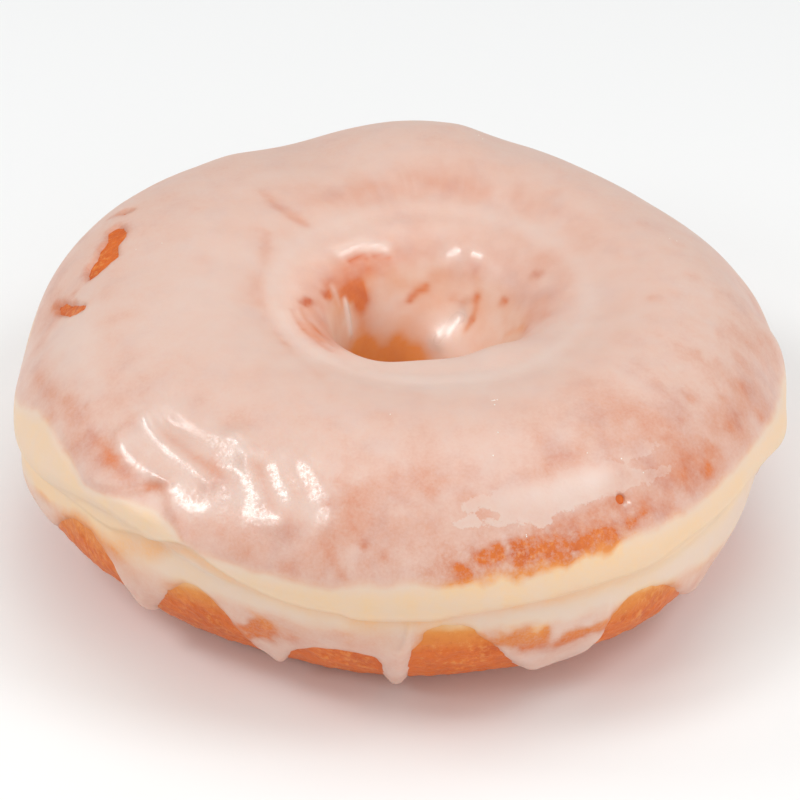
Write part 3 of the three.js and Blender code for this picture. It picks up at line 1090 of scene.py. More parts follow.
# %% Bare patches and the burst bubble
# closed outlines of (azimuth, reach) places
BARE_OUTLINES = [
    [(157, 18.7), (158.5, 18.0), (161, 17.7), (163.5, 18.2), (165.5, 18.3), (167.5, 17.6), (169.5, 19.0),
     (171.8, 20.4), (172.6, 21.8), (170, 22.2), (168, 21.9), (166.5, 20.7), (163.5, 20.7), (161.5, 20.0),
     (158, 20.4), (156.4, 19.6)],
    [(173.4, 27.3), (177, 26.1), (180, 24.3), (182, 22.9), (183.1, 21.0), (181.4, 20.9), (179.6, 22.4),
     (178.6, 22.9), (177.4, 23.6), (176.6, 24.6), (175, 25.4)],
    [(151.3, 19.3), (152, 19.9), (151.6, 21.2), (150.9, 20.6)],
]
BARE_EDGE = 0.28
BUBBLE_RADIUS = 0.55
BUBBLE_EDGE = 0.16
RIM_BAND = 3
RIM_THICKNESS = GLAZE_MEAN + 0.1
# (less cover, radius in mm, place): pink specks where the glaze is nearly gone
BARE_SPECKS = [(0.16, 0.7, (174.5, 23.5)), (0.2, 0.5, (152, 22.2)), (0.3, 0.3, (291.2, 41.4))]

torn_edge = EDGE_RAGGED * layered(edge_noise, points, 1.1, 2)
# for each bare place: how many mm each point is outside it, the width of its edge, less cover beside it
bare = [(-inside_outline(glaze_skin, outline) + torn_edge, BARE_EDGE, 0.16) for outline in BARE_OUTLINES]
bubble_distance = stroke(glaze_skin, BUBBLE)
# the glaze sinks a little round the bubble
thickness -= 0.16 * fade(bubble_distance, 1.6)
bare.append((bubble_distance - BUBBLE_RADIUS, BUBBLE_EDGE, 0.03))
for away, edge, less in bare:
    rim_thickness = np.minimum(thickness, RIM_THICKNESS * dives(away, edge))
    thickness = np.where(away < RIM_BAND, rim_thickness, thickness)
    cover -= less * fade(np.maximum(away, 0), 0.7)
for less, radius, place in BARE_SPECKS:
    cover -= less * fade(stroke(glaze_skin, place), radius)
print("the crust is bare at", int((thickness < 0).sum()), "points of the glaze's grid")

# %% [markdown]
# On the front left the glaze slid and wrinkled while it set. The folds are low rounded ridges with pinker
# valleys between them, where the sugar was stretched thin. A few finer ridges lie on the lip of the hole
# and down its wall. Cloth simulation makes folds, but in places of its own choosing, so each ridge here
# is a stroke that adds height. Each tint is a stroke that changes the cover: less of it in a valley, more
# where sugar was squeezed up along a fold. A few tints paint light instead: white strokes that paint the
# glints in the hole, and faint painted sheen among the folds and on the dried skin.

# %% Wrinkles
# (height in mm, half width in mm, path)
RIDGES = [
    (0.24, 0.85, [(219.6, 19.9), (222, 20.2), (226, 21.1), (232, 21.9), (239, 23.0)]),
    (0.24, 0.85, [(219, 23.2), (223, 24.4), (228, 24.9), (232.4, 24.9)]),
    (0.26, 1.2, [(221, 17.6), (230, 17.6), (237, 17.5), (242, 18.6)]),
    (0.14, 0.5, [(191, -2.4), (204, -2.7), (216, -3.0)]),
    (0.14, 0.5, [(200, -4.2), (212, -4.4), (224, -4.0)]),
    (0.22, 0.35, [(150.6, -15.4), (150.2, -13.2), (150, -11)]),
]
# (more cover, half width in mm, path)
WRINKLE_TINTS_AND_PAINTED_GLINTS = [
    (-0.10, 0.8, [(225, 20.2), (232, 20.9), (239, 21.6)]),
    (0.07, 1.1, [(222, 22.6), (229, 23.4), (236, 24.2)]),
    (-0.10, 1.2, [(221, 26.6), (227, 26.9), (230, 26.4)]),
    (-0.08, 0.8, [(214, 25.5), (222, 25.8)]),
    # painted highlight: a white line that paints the glint down the left wall of the hole
    (0.48, 0.45, [(150.6, -15.4), (150.2, -13.2), (150, -11)]),
    (0.14, 0.80, [(112.5, -6.5), (120, -5.7), (129, -5.1), (136, -5.0)]),
    (0.10, 0.45, [(156.5, -10.4), (155, -8.2)]),
    # painted highlight: a white wedge that paints the glint deep in the hole, under its flash
    (0.40, 0.45, [(54.0, -14.8), (57.6, -16.6)]),
    (0.45, 0.75, [(59.0, -17.2), (62.6, -18.8)]),
    (-0.10, 0.7, [(244.6, 19.4), (247.6, 21.6), (250, 23.8)]),
    (-0.08, 0.6, [(250.4, 19.8), (252.4, 21.6)]),
    # painted sheen: a faint white veil among the folds, beside the wet marks
    (0.05, 1.0, [(241, 23.6), (245, 24.4)]),
    (0.05, 1.0, [(252, 22.6), (257, 23.4)]),
    # painted sheen: whiter sugar where the dried skin shines
    (0.14, 1.5, [(292.0, 22.4), (298.0, 22.6), (303.5, 23.0)]),
]
for height, half_width, path in RIDGES:
    thickness += height * fade(stroke(glaze_skin, *path), half_width)
for more, half_width, path in WRINKLE_TINTS_AND_PAINTED_GLINTS:
    cover += more * fade(stroke(glaze_skin, *path), half_width)
print(len(RIDGES), "ridges and", len(WRINKLE_TINTS_AND_PAINTED_GLINTS), "tints")

# %% [markdown]
# A wet fold flashes where it is turned halfway between a lamp and the eye. Painting white marks would be
# simpler, but they would not move with the light. So each path below is one such flash, and the surface
# along it gets a small relief that turns it exactly so. The relief is a sum of little tilted waves, and
# solving for all of them at once keeps neighbours from spoiling each other.

# %% Where the wet folds flash
# (lamp, wetness, half width of the flash in mm, size of the tilted waves in mm, path)
FLASHES = [
    ("left box", 1.0, 0.60, 1.5, [(234.2, 25.5), (236.2, 26.3), (238.4, 26.7), (240.2, 25.9)]),
    ("left box", 1.0, 0.50, 1.5, [(240.6, 20.4), (242.6, 21.0), (244.4, 21.9), (246.0, 23.0)]),
    ("left box", 1.0, 0.85, 1.5, [(246.4, 23.8), (247.1, 25.0)]),
    ("left box", 0.9, 0.35, 1.5, [(248.6, 25.1), (250.2, 25.0), (251.6, 24.9)]),
    ("left box", 0.72, 0.85, 1.8, [(246.4, 18.8), (247.8, 19.7), (249.4, 20.7)]),
    ("left box", 0.8, 0.40, 1.5, [(250.6, 21.8), (251.4, 22.3)]),
    ("left box", 0.72, 1.25, 2.2, [(251.4, 18.6), (253.0, 19.4), (254.8, 20.4), (256.0, 21.3)]),
    ("left box", 0.5, 0.50, 1.5, [(257.9, 23.0), (258.6, 24.0)]),
    ("left box", 0.9, 0.65, 1.5, [(238.3, 17.8), (238.9, 19.2)]),
    ("low left box", 0.56, 1.15, 1.9, [(223.5, 18.6), (229.5, 18.2), (235.5, 18.1), (241, 18.7)]),
    ("low left box", 0.9, 0.35, 1.1, [(220.6, 20.3), (223, 20.8), (228, 21.7), (232, 22.1), (238, 23.1)]),
    ("low left box", 0.9, 0.38, 1.1, [(221.6, 24.2), (224, 24.9), (227, 25.2), (231.8, 25.1)]),
    ("small left lamp", 1.2, 0.75, 1.3, [(54.6, -15.2), (58.0, -16.8), (61.6, -18.5)]),
    ("right box", 0.62, 0.34, 1.2, [(112.5, -6.5), (120, -5.7), (129, -5.1), (136, -5.0)]),
    ("left box", 0.8, 0.45, 1.1, [(79, -7.8), (73, -7.5)]),
    ("left box", 0.8, 0.36, 1.1, [(65.5, -7.2), (61.5, -7.4)]),
    ("right box", 0.9, 0.15, 0.7, [(305.2, 26.75), (305.9, 26.65)]),
]
FLASH_STEP = 1.2
EYE = np.array(camera.location) / MM
print(len(FLASHES), "flashes")


# %% How the surface has to turn for a flash
def stepped(path, step):
    """Places along a path, at most one step apart."""
    places = [path[0]]
    for a, b in zip(path[:-1], path[1:]):
        span = np.linalg.norm(on_skin(*a) - on_skin(*b))
        count = math.ceil(span / step)
        places += [tuple(np.array(a) + (np.array(b) - a) * k / count) for k in range(1, count + 1)]
    return places


def lamp_place(lamp):
    """Where a soft box stands, in mm."""
    box = SOFT_BOXES[lamp]
    return np.array(LOOK_AT + box["distance"] * towards(box["azimuth"], box["tilt"])) / MM


def slope(normal, east, down, out):
    """How steeply a surface with this normal rises to the east and downhill."""
    return -np.array([normal @ east, normal @ down]) / (normal @ out)


def nearest_point(skin, azimuth, reach):
    """The row and the column of the grid point nearest to an address."""
    return np.argmin(abs(turned(skin.azimuth[:, 0], azimuth))), np.argmin(abs(skin.reach[0] - reach))


def wanted_turns(skin, surface, flashes):
    """For each place on each flash: the spot, its axes, its wave's size and the change of slope wanted."""
    places = []
    for lamp, _, _, size, path in flashes:
        for azimuth, reach in stepped(path, FLASH_STEP):
            i, j = nearest_point(skin, azimuth, reach)
            spot = surface[i, j]
            halfway = unit(unit(lamp_place(lamp) - spot) + unit(EYE - spot))
            along, across = surface[i, j + 1] - surface[i, j - 1], surface[i + 1, j] - surface[i - 1, j]
            normal = unit(np.cross(along, across))
            directions = skin.east[i, j], skin.down[i, j], skin.out[i, j]
            change = slope(halfway, *directions) - slope(normal, *directions)
            places.append((spot, np.array(directions[:2]), size, change))
    return places


# %% Little tilted waves
# weights smaller than this share of the largest are left out, which keeps the waves calm
LEAST_WEIGHT = 0.02


def tilted_waves(skin, surface, flashes):
    """Little tilted waves that turn the surface along each flash so that it mirrors its lamp to the eye."""
    spots, axes, sizes, wanted = zip(*wanted_turns(skin, surface, flashes))
    count = len(spots)
    turns = np.zeros((count, 2, count, 2))
    for k in range(count):
        for m in range(count):
            offset = axes[m] @ (spots[k] - spots[m])
            hill = fade(np.linalg.norm(offset), sizes[m])
            turns[k, :, m, :] = hill * (np.eye(2) - 2 * np.outer(offset, offset) / sizes[m] ** 2)
    tilts = np.linalg.lstsq(turns.reshape(2 * count, -1), np.ravel(wanted), rcond=LEAST_WEIGHT)[0]
    return list(zip(spots, axes, sizes, tilts.reshape(-1, 2)))


def wave_relief(waves, surface):
    """The height that the waves give each point of a surface, in mm."""
    relief = np.zeros(surface.shape[:-1])
    for spot, axes, size, tilt in waves:
        close = np.linalg.norm(surface - spot, axis=-1) < 3 * size
        offset = (surface[close] - spot) @ axes.T
        relief[close] += (offset @ tilt) * fade(np.linalg.norm(offset, axis=-1), size)
    return relief


# %% [markdown]
# The same relief goes on the glaze and on the dough below it, so the sheet keeps its thickness. Each
# flash also gets a little more milk round it, a painted white haze round its highlight.

# %% Turn the folds
FLASH_PAINTED_HAZE = 0.13
FLASH_PAINTED_HAZE_WIDTH = 2.4
glaze_surface = points + glaze_skin.out * (thickness - GLAZE_MEAN + folds(glaze_skin))[..., None]
waves = tilted_waves(glaze_skin, glaze_surface, FLASHES)
# painted highlight: a white haze of milk round each flash
for _, wetness, half_width, _, path in FLASHES:
    cover += FLASH_PAINTED_HAZE * wetness * fade(stroke(glaze_skin, *path), FLASH_PAINTED_HAZE_WIDTH * half_width)
relief = wave_relief(waves, glaze_surface)
print(len(waves), "tilted waves move the surface by at most", round(float(abs(relief).max()), 2), "mm")

# %% [markdown]
# Only the slid glaze and the inside of the hole are still wet enough to mirror the lamps. Everywhere else
# the sugar has dried to a satin. One number for wetness is stored with the mesh, and the material turns
# it into a clear coat. The noise on each mark keeps its border uneven. A second number, wrinkled, marks
# the frosted sugar round the folds, where the coat is broken up into grains.

# %% Wet marks
WET_REACH = 1.5
HOLE_WETNESS = 0.25
# (wetness, half width in mm, path)
WET_MARKS = [
    (0.45, 1.0, [(241, 24.0), (245, 24.6)]),
    (0.45, 1.2, [(251, 22.6), (257, 23.2)]),
    (0.4, 0.8, [(240, 17.4), (243, 17.8)]),
    (0.50, 1.7, [(237, 18.5), (243, 20.0), (250, 20.4), (256, 20.6)]),
    (0.50, 1.5, [(238, 25.6), (244, 24.6), (251, 24.4)]),
    (0.42, 1.6, [(222, 19.6), (230, 20.6), (238, 22.0)]),
]
wet = HOLE_WETNESS * smoothstep(-reach, 4, 7)
for wetness, half_width, path in WET_MARKS + [(w, wide, path) for _, w, wide, _, path in FLASHES]:
    wetness = wetness * (1 + 0.3 * mottle)
    wet = np.maximum(wet, wetness * fade(stroke(glaze_skin, *path), half_width * WET_REACH))
wrinkled = fade_round(azimuth, 246, 17) * fade(reach - 22, 7)
print("the glaze is wet over", round(100 * float((wet > 0.5).mean()), 1), "percent of its grid")

# %% [markdown]
# Above the orange flecks on the front wall a sheet of sugar dried first and slid down in one piece, with
# a torn edge. It is an outline again. The depth inside it is stored with the mesh, and the material
# roughens that depth with fine noise before it cuts the edge, because such a tear is finer than the grid.

# %% The dried skin
# closed outlines of (azimuth, reach) places
DRY_SKIN_OUTLINE = [
    (279.4, 21.7), (284, 21.0), (287.5, 20.2), (290, 19.4), (296, 19.3), (302, 19.5), (306, 21.2),
    (308.6, 23.2), (312, 24.6), (316.5, 25.3), (313.6, 26.0), (309, 25.3), (304, 25.2), (298, 25.0),
    (294.6, 25.4), (292.4, 26.0), (289, 25.8), (287.4, 25.0), (285.4, 25.5), (282.4, 24.9), (279, 24.9),
    (277.8, 24.2), (280, 23.4), (279, 22.4),
]
FAINT_SKIN_OUTLINE = [
    (300, 19.2), (306, 18.4), (312, 19.2), (317, 21.2), (317, 23.2), (312, 23.8), (307, 22.6), (303, 21),
]
SKIN_TEAR = [(282.6, 23.2), (284.6, 23.4)]
FAINT_DEPTH = 1.0
dry_skin = inside_outline(glaze_skin, DRY_SKIN_OUTLINE)
dry_skin = np.maximum(dry_skin, inside_outline(glaze_skin, FAINT_SKIN_OUTLINE) - FAINT_DEPTH)
dry_skin = np.maximum(dry_skin, -2) - 1.6 * fade(stroke(glaze_skin, *SKIN_TEAR), 1.0)
# the dried look comes in down the wall, and is half as strong on the right
faint_right = smoothstep(azimuth, 299, 305) * (azimuth < 340)
dried = smoothstep(reach, 19.6, 23.0) * (1 - 0.5 * faint_right)
print("the dried skin covers", round(100 * float((dry_skin > 0).mean()), 1), "percent of the grid")

# %% [markdown]
# Two last numbers steer fine noise in the material. Ragged is high where the worn sugar breaks up into
# crumbs: along the orange flecks and round the windows in the tongues. Grainy is high on the crown and
# the wall, where the dried sugar has a grain, and low in the hole, where it is smooth.

# %% Ragged and grainy places
TORN_WINDOW = [(248.6, 43.2), (244.8, 46.0)]
ragged = fade_round(azimuth, 289, 17) * fade(reach - 28.8, 2.6)
ragged += 0.2 * fade_round(azimuth, 292, 14) * fade(reach - 41.5, 2.5)
ragged += 0.5 * fade(stroke(glaze_skin, *TORN_WINDOW), 2.6)
grainy = 0.15 + 0.85 * smoothstep(reach, 4, 14)
print("ragged over", round(100 * float((ragged > 0.5).mean()), 1), "percent of the grid")

# %% [markdown]
# Now both grids become meshes. No point may sink below the table. The faces of the glaze that lie well
# below the crust are left out, because nobody would ever see them.

# %% Make the dough and the glaze
GLAZE_FLOOR = 0.02
DEEPEST_GLAZE = -0.3
glaze_points = glaze_surface + glaze_skin.out * relief[..., None]
glaze_points[..., 2] = np.maximum(glaze_points[..., 2], GLAZE_FLOOR)
dough_points = dough_surface + dough_skin.out * wave_relief(waves, dough_surface)[..., None]
dough_points[..., 2] = np.maximum(dough_points[..., 2], 0)
dough, dough_used = grid_mesh("fried_dough", dough_points, closed_section=True)
paint(dough, dough_used, "browning", dough_browning)
shown = thickness > DEEPEST_GLAZE
glaze, glaze_used = grid_mesh("sugar_glaze", glaze_points, closed_section=False, keep=shown)
GLAZE_PAINT = {
    "browning": browning,
    "cover": np.clip(cover, 0.01, 2),
    "wet": np.clip(wet, 0, 1),
    "wrinkled": wrinkled,
    "dry_skin": dry_skin,
    "dried": dried,
    "grainy": grainy,
    "ragged": np.clip(ragged, 0, 1),
}
for paint_name, values in GLAZE_PAINT.items():
    paint(glaze, glaze_used, paint_name, values)

# %% [markdown]
# A few grains of sugar that never dissolved sit on the glaze and sparkle. They could be scattered by a
# particle system, but so few are better set in their clusters. Each is a rough little crystal, pressed
# halfway in, and all of them together are one piece.

# %% Sugar grains
# (azimuth, reach, how many, how far they scatter in mm, size in mm)
GRAIN_CLUSTERS = [
    (287, 6.8, 5, 0.5, 0.22), (286, 12.6, 1, 0.1, 0.22), (285, 15.9, 1, 0.1, 0.20),
    (302, 19.3, 1, 0.1, 0.20), (308, 21.4, 1, 0.1, 0.20), (310, 24.1, 1, 0.1, 0.20),
    (289, 26.6, 2, 0.3, 0.18), (262, 8.5, 1, 0.1, 0.16), (75, 16.0, 2, 0.8, 0.18),
    (20, 14.0, 2, 0.8, 0.18), (165, 14.0, 2, 0.8, 0.16), (120, 24.0, 2, 1.0, 0.18),
]
GRAIN_SEED = 77


def sugar_grains(surface):
    """All the grains as one piece: rough crystals at the points of the surface nearest to their places."""
    rng = np.random.default_rng(GRAIN_SEED)
    grains = bmesh.new()
    for azimuth, reach, count, scatter, size in GRAIN_CLUSTERS:
        i, j = nearest_point(glaze_skin, azimuth, reach)
        east, down, out = glaze_skin.east[i, j], glaze_skin.down[i, j], glaze_skin.out[i, j]
        for _ in range(count):
            aside = rng.normal(0, scatter, 2)
            near = surface[i, j] + aside[0] * east + aside[1] * down
            around = surface[max(i - 40, 0):i + 40, max(j - 12, 0):j + 12].reshape(-1, 3)
            place = around[np.argmin(np.linalg.norm(around - near, axis=1))]
            half = size * rng.uniform(0.7, 1.2, 3) / 2
            turn = Matrix.Rotation(rng.uniform(0, math.tau), 4, Vector(out)).to_3x3()
            grain_axes = np.array(turn) @ np.column_stack([east, down, out])
            added = bmesh.ops.create_icosphere(grains, subdivisions=1, radius=1)["verts"]
            for vertex in added:
                vertex.co = Vector((grain_axes @ (np.array(vertex.co) * half) + place) * MM)
    mesh = bpy.data.meshes.new("sugar_grains")
    grains.to_mesh(mesh)
    grains.free()
    piece = bpy.data.objects.new("sugar_grains", mesh)
    bpy.context.scene.collection.objects.link(piece)
    print("sugar_grains has", len(mesh.polygons), "faces")
    return piece


grains_piece = sugar_grains(glaze_points)

# %% [markdown]
# Materials next. Colours are given as a paint chart gives them, 0 to 255, and turned into the amounts of
# light that Blender mixes. Nodes could be dragged together in the shader editor. In a script, a small
# class that adds nodes and links them lets each material read as a list of steps.

# %% Colours
def srgb(r, g, b):
    """A paint chart's colour as amounts of light, with full opacity."""
    shares = (r / 255, g / 255, b / 255)
    light = (c / 12.92 if c <= 0.04045 else ((c + 0.055) / 1.055) ** 2.4 for c in shares)
    return (*light, 1.0)


print("half grey is", round(srgb(128, 128, 128)[0], 3), "of full light")


# %% Wiring for the materials
class Wiring:
    """Adds nodes to one tree and links them; a value may be a number, a colour or another node's socket."""

    def __init__(self, tree):
        self.tree = tree

    def add(self, kind, **settings):
        """A new node with its settings made."""
        node = self.tree.nodes.new(kind)
        for key, value in settings.items():
            setattr(node, key, value)
        return node

    def feed(self, socket, value):
        """Links a socket to another node's, or sets it to a plain value."""
        if isinstance(value, bpy.types.NodeSocket):
            self.tree.links.new(value, socket)
        else:
            socket.default_value = value

    def math(self, operation, *values, clamp=False):
        """One step of arithmetic."""
        node = self.add("ShaderNodeMath", operation=operation, use_clamp=clamp)
        for socket, value in zip(node.inputs, values):
            self.feed(socket, value)
        return node.outputs[0]

    def mix(self, share, a, b):
        """Colour a where the share is 0, colour b where it is 1."""
        node = self.add("ShaderNodeMix", data_type="RGBA", clamp_factor=True)
        self.feed(node.inputs[0], share)
        first, second = (s for s in node.inputs if s.type == "RGBA")
        self.feed(first, a)
        self.feed(second, b)
        return next(s for s in node.outputs if s.type == "RGBA")

    def noise(self, where, scale, detail, roughness):
        """Noise from 0 to 1 with this many lumps per metre."""
        node = self.add("ShaderNodeTexNoise")
        self.feed(node.inputs["Vector"], where)
        self.feed(node.inputs["Scale"], scale)
        self.feed(node.inputs["Detail"], detail)
        self.feed(node.inputs["Roughness"], roughness)
        return node.outputs["Fac"]

    def stretch(self, value, low, high, to_low=0.0, to_high=1.0):
        """The range from low to high moved to another range, and held inside it."""
        node = self.add("ShaderNodeMapRange", clamp=True)
        for name, number in (
            ("Value", value), ("From Min", low), ("From Max", high), ("To Min", to_low), ("To Max", to_high)
        ):
            self.feed(node.inputs[name], number)
        return node.outputs["Result"]

    def around_zero(self, value, size):
        """A 0 to 1 value turned into one that swings by its size each side of zero."""
        return self.math("MULTIPLY", self.math("SUBTRACT", value, 0.5), 2 * size)

    def attribute(self, name):
        """The number that the mesh stores under this name."""
        return self.add("ShaderNodeAttribute", attribute_name=name).outputs["Fac"]


# %% A new node group
def new_group(name, inputs, outputs):
    """A shader node group with named sockets, the wiring for it, and its input and output nodes."""
    group = bpy.data.node_groups.new(name, "ShaderNodeTree")
    for socket_name, kind, default in inputs:
        group.interface.new_socket(socket_name, in_out="INPUT", socket_type=kind).default_value = default
    for socket_name, kind in outputs:
        group.interface.new_socket(socket_name, in_out="OUTPUT", socket_type=kind)
    wiring = Wiring(group)
    return group, wiring, wiring.add("NodeGroupInput"), wiring.add("NodeGroupOutput")


# %% [markdown]
# Fried crust runs from pale dough through gold to brown, with darker scorched grains and lighter
# blisters. One flat brown would look like clay, so noise of three sizes breaks it up: patches, scorch
# marks and fine grains. Both the bare dough and the dough seen through the glaze need it, so it is a node
# group with its colours as inputs. The sizes are noise scales, in lumps per metre.

# %% The fried crust as a node group
FIBRE_STRETCH = (1.0, 1.0, 0.75)
PATCH_SCALE = 190
SCORCH_SCALE = 230
CRUST_GRAIN_SCALE = 1350


def crust_group():
    """The crust's colour, and a height for its bump, from how brown it is."""
    group, w, given, result = new_group(
        "fried_crust",
        [
            ("Browning", "NodeSocketFloat", 1.0),
            ("Pale", "NodeSocketColor", srgb(238, 202, 158)),
            ("Golden", "NodeSocketColor", srgb(229, 152, 72)),
            ("Brown", "NodeSocketColor", srgb(218, 108, 36)),
            ("Dark", "NodeSocketColor", srgb(190, 78, 20)),
            ("Blister", "NodeSocketColor", srgb(236, 166, 92)),
            ("Flecks", "NodeSocketFloat", 1.0),
        ],
        [("Color", "NodeSocketColor"), ("Height", "NodeSocketFloat")],
    )
    where = w.add("ShaderNodeTexCoord").outputs["Object"]
    drawn_out = w.add("ShaderNodeVectorMath", operation="MULTIPLY")
    w.feed(drawn_out.inputs[0], where)
    drawn_out.inputs[1].default_value = FIBRE_STRETCH
    patches = w.noise(where, PATCH_SCALE, 4, 0.6)
    grains = w.noise(drawn_out.outputs["Vector"], CRUST_GRAIN_SCALE, 3, 0.65)
    # from pale to golden to brown
    uneven = w.math("ADD", given.outputs["Browning"], w.around_zero(patches, 0.10))
    colour = w.mix(w.stretch(uneven, 0.08, 0.45), given.outputs["Pale"], given.outputs["Golden"])
    brown = w.stretch(uneven, 0.35, 0.85)
    colour = w.mix(brown, colour, given.outputs["Brown"])
    # broad scorch marks, then scorched grains
    scorch_noise = w.noise(drawn_out.outputs["Vector"], SCORCH_SCALE, 3, 0.55)
    scorch = w.stretch(scorch_noise, 0.48, 0.68, 0.0, 0.55)
    colour = w.mix(w.math("MULTIPLY", brown, scorch), colour, given.outputs["Dark"])
    flecks = w.math("MULTIPLY", given.outputs["Flecks"], 0.50)
    scorched = w.stretch(w.math("ADD", grains, w.around_zero(patches, 0.25)), 0.50, 0.72)
    scorched_grains = w.math("MULTIPLY", brown, w.math("MULTIPLY", scorched, flecks))
    colour = w.mix(scorched_grains, colour, given.outputs["Dark"])
    # light blisters, and the darkest crust where the browning goes past 1
    blistered = w.stretch(w.math("SUBTRACT", grains, w.around_zero(patches, 0.20)), 0.46, 0.30)
    colour = w.mix(w.math("MULTIPLY", blistered, flecks), colour, given.outputs["Blister"])
    colour = w.mix(w.stretch(uneven, 1.02, 1.4, 0.0, 0.85), colour, given.outputs["Dark"])
    w.feed(result.inputs["Color"], colour)
    w.feed(result.inputs["Height"], w.math("SUBTRACT", patches, w.math("MULTIPLY", grains, 0.8)))
    return group


CRUST_GROUP = crust_group()
print("the crust's group has", len(CRUST_GROUP.nodes), "nodes")


# %% Helpers for materials
def new_material(name):
    """A material with its wiring and its Principled shader."""
    material = bpy.data.materials.new(name)
    material.use_nodes = True
    return material, Wiring(material.node_tree), material.node_tree.nodes["Principled BSDF"]


def add_bump(w, shader, height, strength, distance):
    """Feeds a height to the shader's normal through a bump node."""
    bump = w.add("ShaderNodeBump")
    w.feed(bump.inputs["Height"], height)
    bump.inputs["Strength"].default_value = strength
    bump.inputs["Distance"].default_value = distance
    w.feed(shader.inputs["Normal"], bump.outputs["Normal"])


# %% [markdown]
# The bare crust is dry and rough, with a trace of frying oil that makes its grains sparkle. The mesh
# already has the blisters, so only the finest grain is left to a bump. A middling roughness with little
# specular keeps the oil from looking like varnish.

# %% Crust material
def crust_material():
    """The finish of the bare dough."""
    material, w, shader = new_material("fried_crust")
    crust = w.add("ShaderNodeGroup", node_tree=CRUST_GROUP)
    w.feed(crust.inputs["Browning"], w.attribute("browning"))
    w.feed(shader.inputs["Base Color"], crust.outputs["Color"])
    add_bump(w, shader, crust.outputs["Height"], strength=0.8, distance=0.3 * MM)
    shader.inputs["Roughness"].default_value = 0.42
    shader.inputs["Specular IOR Level"].default_value = 0.3
    return material


# %% [markdown]
# The glaze mixes its milk over the crust's colour: the thicker the cover, the less crust comes through,
# as light fades in fog. Subsurface scattering alone would take far longer to render and would not show
# the crust's own pattern. Sugar that hides about half of the crust looks warmer than a plain mix of the
# two, because the light crosses it twice, so a warm stain is added there.
#
# Noise of four sizes works on the cover: blotches, tears, crumbs and grains. The dried skin has a torn
# edge and is whiter than the sugar round it, partly its own colour and partly a painted sheen.

# %% Noise and colour of the glaze
COVER_FOG = 4.2
MILK = srgb(226, 206, 195)
WARM_STAIN = srgb(150, 58, 22)
WARM_STAIN_SHARE = 0.85
# noise scales, in lumps per metre
BLOTCH_SCALE = 260
TEAR_SCALE = 560
CRUMB_SCALE = 1300
GRAIN_SCALE = 2600


def glaze_noise(w):
    """The four noises that the glaze is broken up by."""
    where = w.add("ShaderNodeTexCoord").outputs["Object"]
    return {
        "blotch": w.noise(where, BLOTCH_SCALE, 4, 0.6),
        "grain": w.noise(where, GRAIN_SCALE, 2, 0.6),
        "tear": w.noise(where, TEAR_SCALE, 6, 0.68),
        "crumb": w.noise(where, CRUMB_SCALE, 3, 0.7),
    }


def glaze_cover(w, noise, torn, skin):
    """The mesh's cover made uneven: ragged places crumble; the dried skin, partly a painted sheen, and its
    rim are whiter.
    """
    cover = w.math("MULTIPLY", w.attribute("cover"), w.stretch(noise["blotch"], 0.25, 0.75, 0.86, 1.14))
    crumbled = w.math("ADD", w.around_zero(noise["tear"], 0.19), w.around_zero(noise["crumb"], 0.11))
    cover = w.math("ADD", cover, w.math("MULTIPLY", w.attribute("ragged"), crumbled))
    cover = w.math("MAXIMUM", cover, 0.0)
    # the dried skin is whiter: partly its own colour, partly a painted sheen
    cover = w.math("ADD", cover, w.math("MULTIPLY", skin, 0.13))
    rim = w.math("MULTIPLY", skin, w.stretch(torn, 0.15, 0.75, 1.0, 0.0))
    cover = w.math("ADD", cover, w.math("MULTIPLY", rim, 0.06))
    grains = w.math("ADD", w.around_zero(noise["grain"], 0.035), w.around_zero(noise["crumb"], 0.05))
    return w.math("ADD", cover, w.math("MULTIPLY", grains, w.attribute("grainy")))


def glaze_colour(w, cover):
    """Milk over crust, with the warm stain where the crust is half hidden."""
    browning = w.attribute("browning")
    crust = w.add("ShaderNodeGroup", node_tree=CRUST_GROUP)
    w.feed(crust.inputs["Browning"], browning)
    w.feed(crust.inputs["Flecks"], w.math("MULTIPLY", w.attribute("ragged"), 0.8))
    crust.inputs["Golden"].default_value = srgb(230, 146, 60)
    crust.inputs["Brown"].default_value = srgb(216, 110, 24)
    crust_share = w.math("EXPONENT", w.math("MULTIPLY", cover, -COVER_FOG), clamp=True)
    colour = w.mix(crust_share, MILK, crust.outputs["Color"])
    shows = w.math("SUBTRACT", crust_share, 0.28, clamp=True)
    half_hidden = w.math("MULTIPLY", shows, w.math("SUBTRACT", 1.0, crust_share))
    stain = w.math("MULTIPLY", w.math("MULTIPLY", half_hidden, WARM_STAIN_SHARE), browning)
    return w.mix(stain, colour, WARM_STAIN)


# %% [markdown]
# Wet sugar mirrors the lamps through a clear coat over the milk. Its weight is the wetness, cut up by
# fine speckle among the folds, where the sugar is frosted: a whole coat there would look like plastic
# wrap. The coat is a little rough, so that each lamp leaves a soft mark and not a hard white shape. The
# dried skin has no coat, but it is smoother than the sugar round it.

# %% Glaze material
DRY_ROUGHNESS, WET_ROUGHNESS = 0.44, 0.27
SKIN_SMOOTHER = 0.13
COAT_ROUGHNESS, COAT_IOR = 0.21, 1.6


def glaze_wetness(w, noise, wrinkled):
    """How wet each place is, from 0 to 1, with crumbs of dry sugar among the folds."""
    crumbs = w.math("ADD", w.around_zero(noise["crumb"], 0.9), w.around_zero(noise["grain"], 0.4))
    wet = w.math("ADD", w.attribute("wet"), w.math("MULTIPLY", crumbs, wrinkled))
    return w.stretch(wet, 0.25, 0.85)


def glaze_speckle(w, noise, wrinkled):
    """How much of the coat is left between the frosted grains."""
    speckle = w.math("ADD", noise["grain"], w.around_zero(noise["crumb"], 0.35))
    speckle = w.stretch(speckle, 0.32, 0.60, 0.38, 1.0)
    return w.math("MAXIMUM", speckle, w.math("SUBTRACT", 1.0, wrinkled))


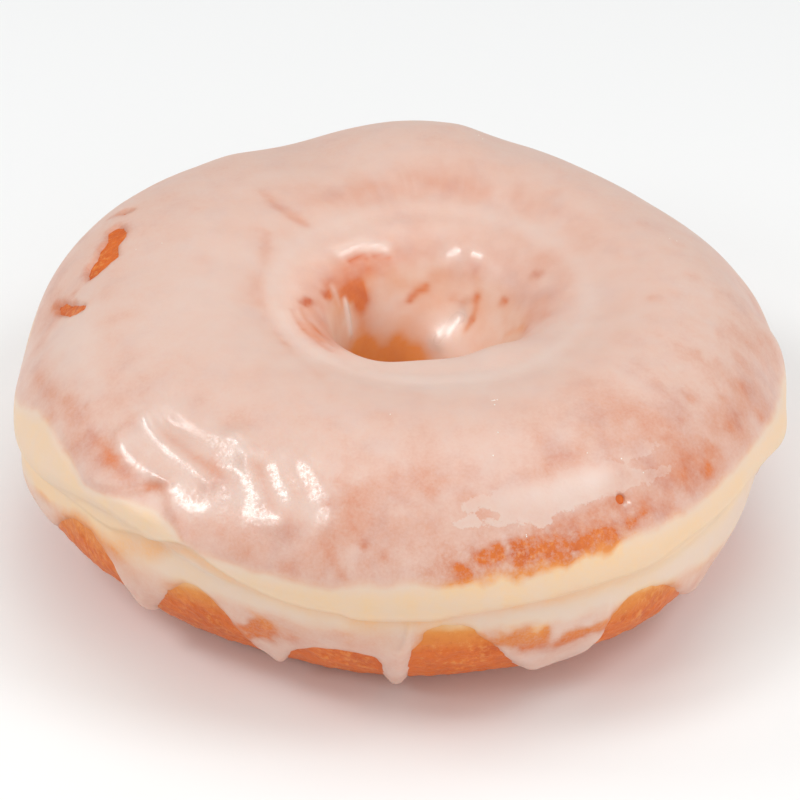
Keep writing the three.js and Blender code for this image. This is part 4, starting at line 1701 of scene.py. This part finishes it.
def glaze_relief(w, noise, skin, wrinkled):
    """The finest relief: grains among the folds, the step of the dried skin, and torn sugar."""
    relief = w.math("MULTIPLY", noise["grain"], w.math("ADD", 0.35, w.math("MULTIPLY", wrinkled, 1.6)))
    relief = w.math("ADD", relief, w.math("MULTIPLY", skin, 0.5))
    torn_sugar = w.math("MULTIPLY", noise["tear"], w.math("ADD", 0.15, w.attribute("ragged")))
    return w.math("ADD", relief, torn_sugar)


def glaze_material():
    """The finish of the sugar glaze."""
    material, w, shader = new_material("sugar_glaze")
    noise = glaze_noise(w)
    torn = w.math("ADD", w.attribute("dry_skin"), w.around_zero(noise["tear"], 1.7))
    skin = w.math("MULTIPLY", w.stretch(torn, -0.05, 0.12), w.attribute("dried"))
    w.feed(shader.inputs["Base Color"], glaze_colour(w, glaze_cover(w, noise, torn, skin)))

    wrinkled = w.attribute("wrinkled")
    wet = glaze_wetness(w, noise, wrinkled)
    roughness = w.stretch(wet, 0.0, 1.0, DRY_ROUGHNESS, WET_ROUGHNESS)
    roughness = w.math("SUBTRACT", roughness, w.math("MULTIPLY", skin, SKIN_SMOOTHER))
    w.feed(shader.inputs["Roughness"], roughness)
    w.feed(shader.inputs["Coat Weight"], w.math("MULTIPLY", wet, glaze_speckle(w, noise, wrinkled)))
    shader.inputs["Coat Roughness"].default_value = COAT_ROUGHNESS
    shader.inputs["Coat IOR"].default_value = COAT_IOR
    add_bump(w, shader, glaze_relief(w, noise, skin, wrinkled), strength=0.6, distance=0.06 * MM)
    shader.inputs["Specular IOR Level"].default_value = 0.6
    shader.inputs["Subsurface Weight"].default_value = 0.25
    shader.inputs["Subsurface Radius"].default_value = (1.0, 0.6, 0.4)
    shader.inputs["Subsurface Scale"].default_value = 1.0 * MM
    return material


# %% [markdown]
# The undissolved grains are clear white sugar. Real crystals are clear, but at this size glass would only
# look grey, so they are a smooth white whose shade changes a little from grain to grain.

# %% Sugar material
def sugar_material():
    """The finish of the undissolved grains."""
    material, w, shader = new_material("undissolved_sugar")
    shade = w.noise(w.add("ShaderNodeTexCoord").outputs["Object"], 1500, 2, 0.5)
    w.feed(shader.inputs["Base Color"], w.mix(shade, srgb(246, 232, 222), srgb(255, 250, 244)))
    shader.inputs["Roughness"].default_value = 0.2
    return material


dough.data.materials.append(crust_material())
glaze.data.materials.append(glaze_material())
grains_piece.data.materials.append(sugar_material())
for piece in (dough, glaze, grains_piece):
    print(piece.name, "is finished in", piece.data.materials[0].name)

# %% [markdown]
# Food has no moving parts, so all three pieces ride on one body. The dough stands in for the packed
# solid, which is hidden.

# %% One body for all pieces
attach(dough, "root")
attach(glaze, "root")
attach(grains_piece, "root")
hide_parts("dough_ring")
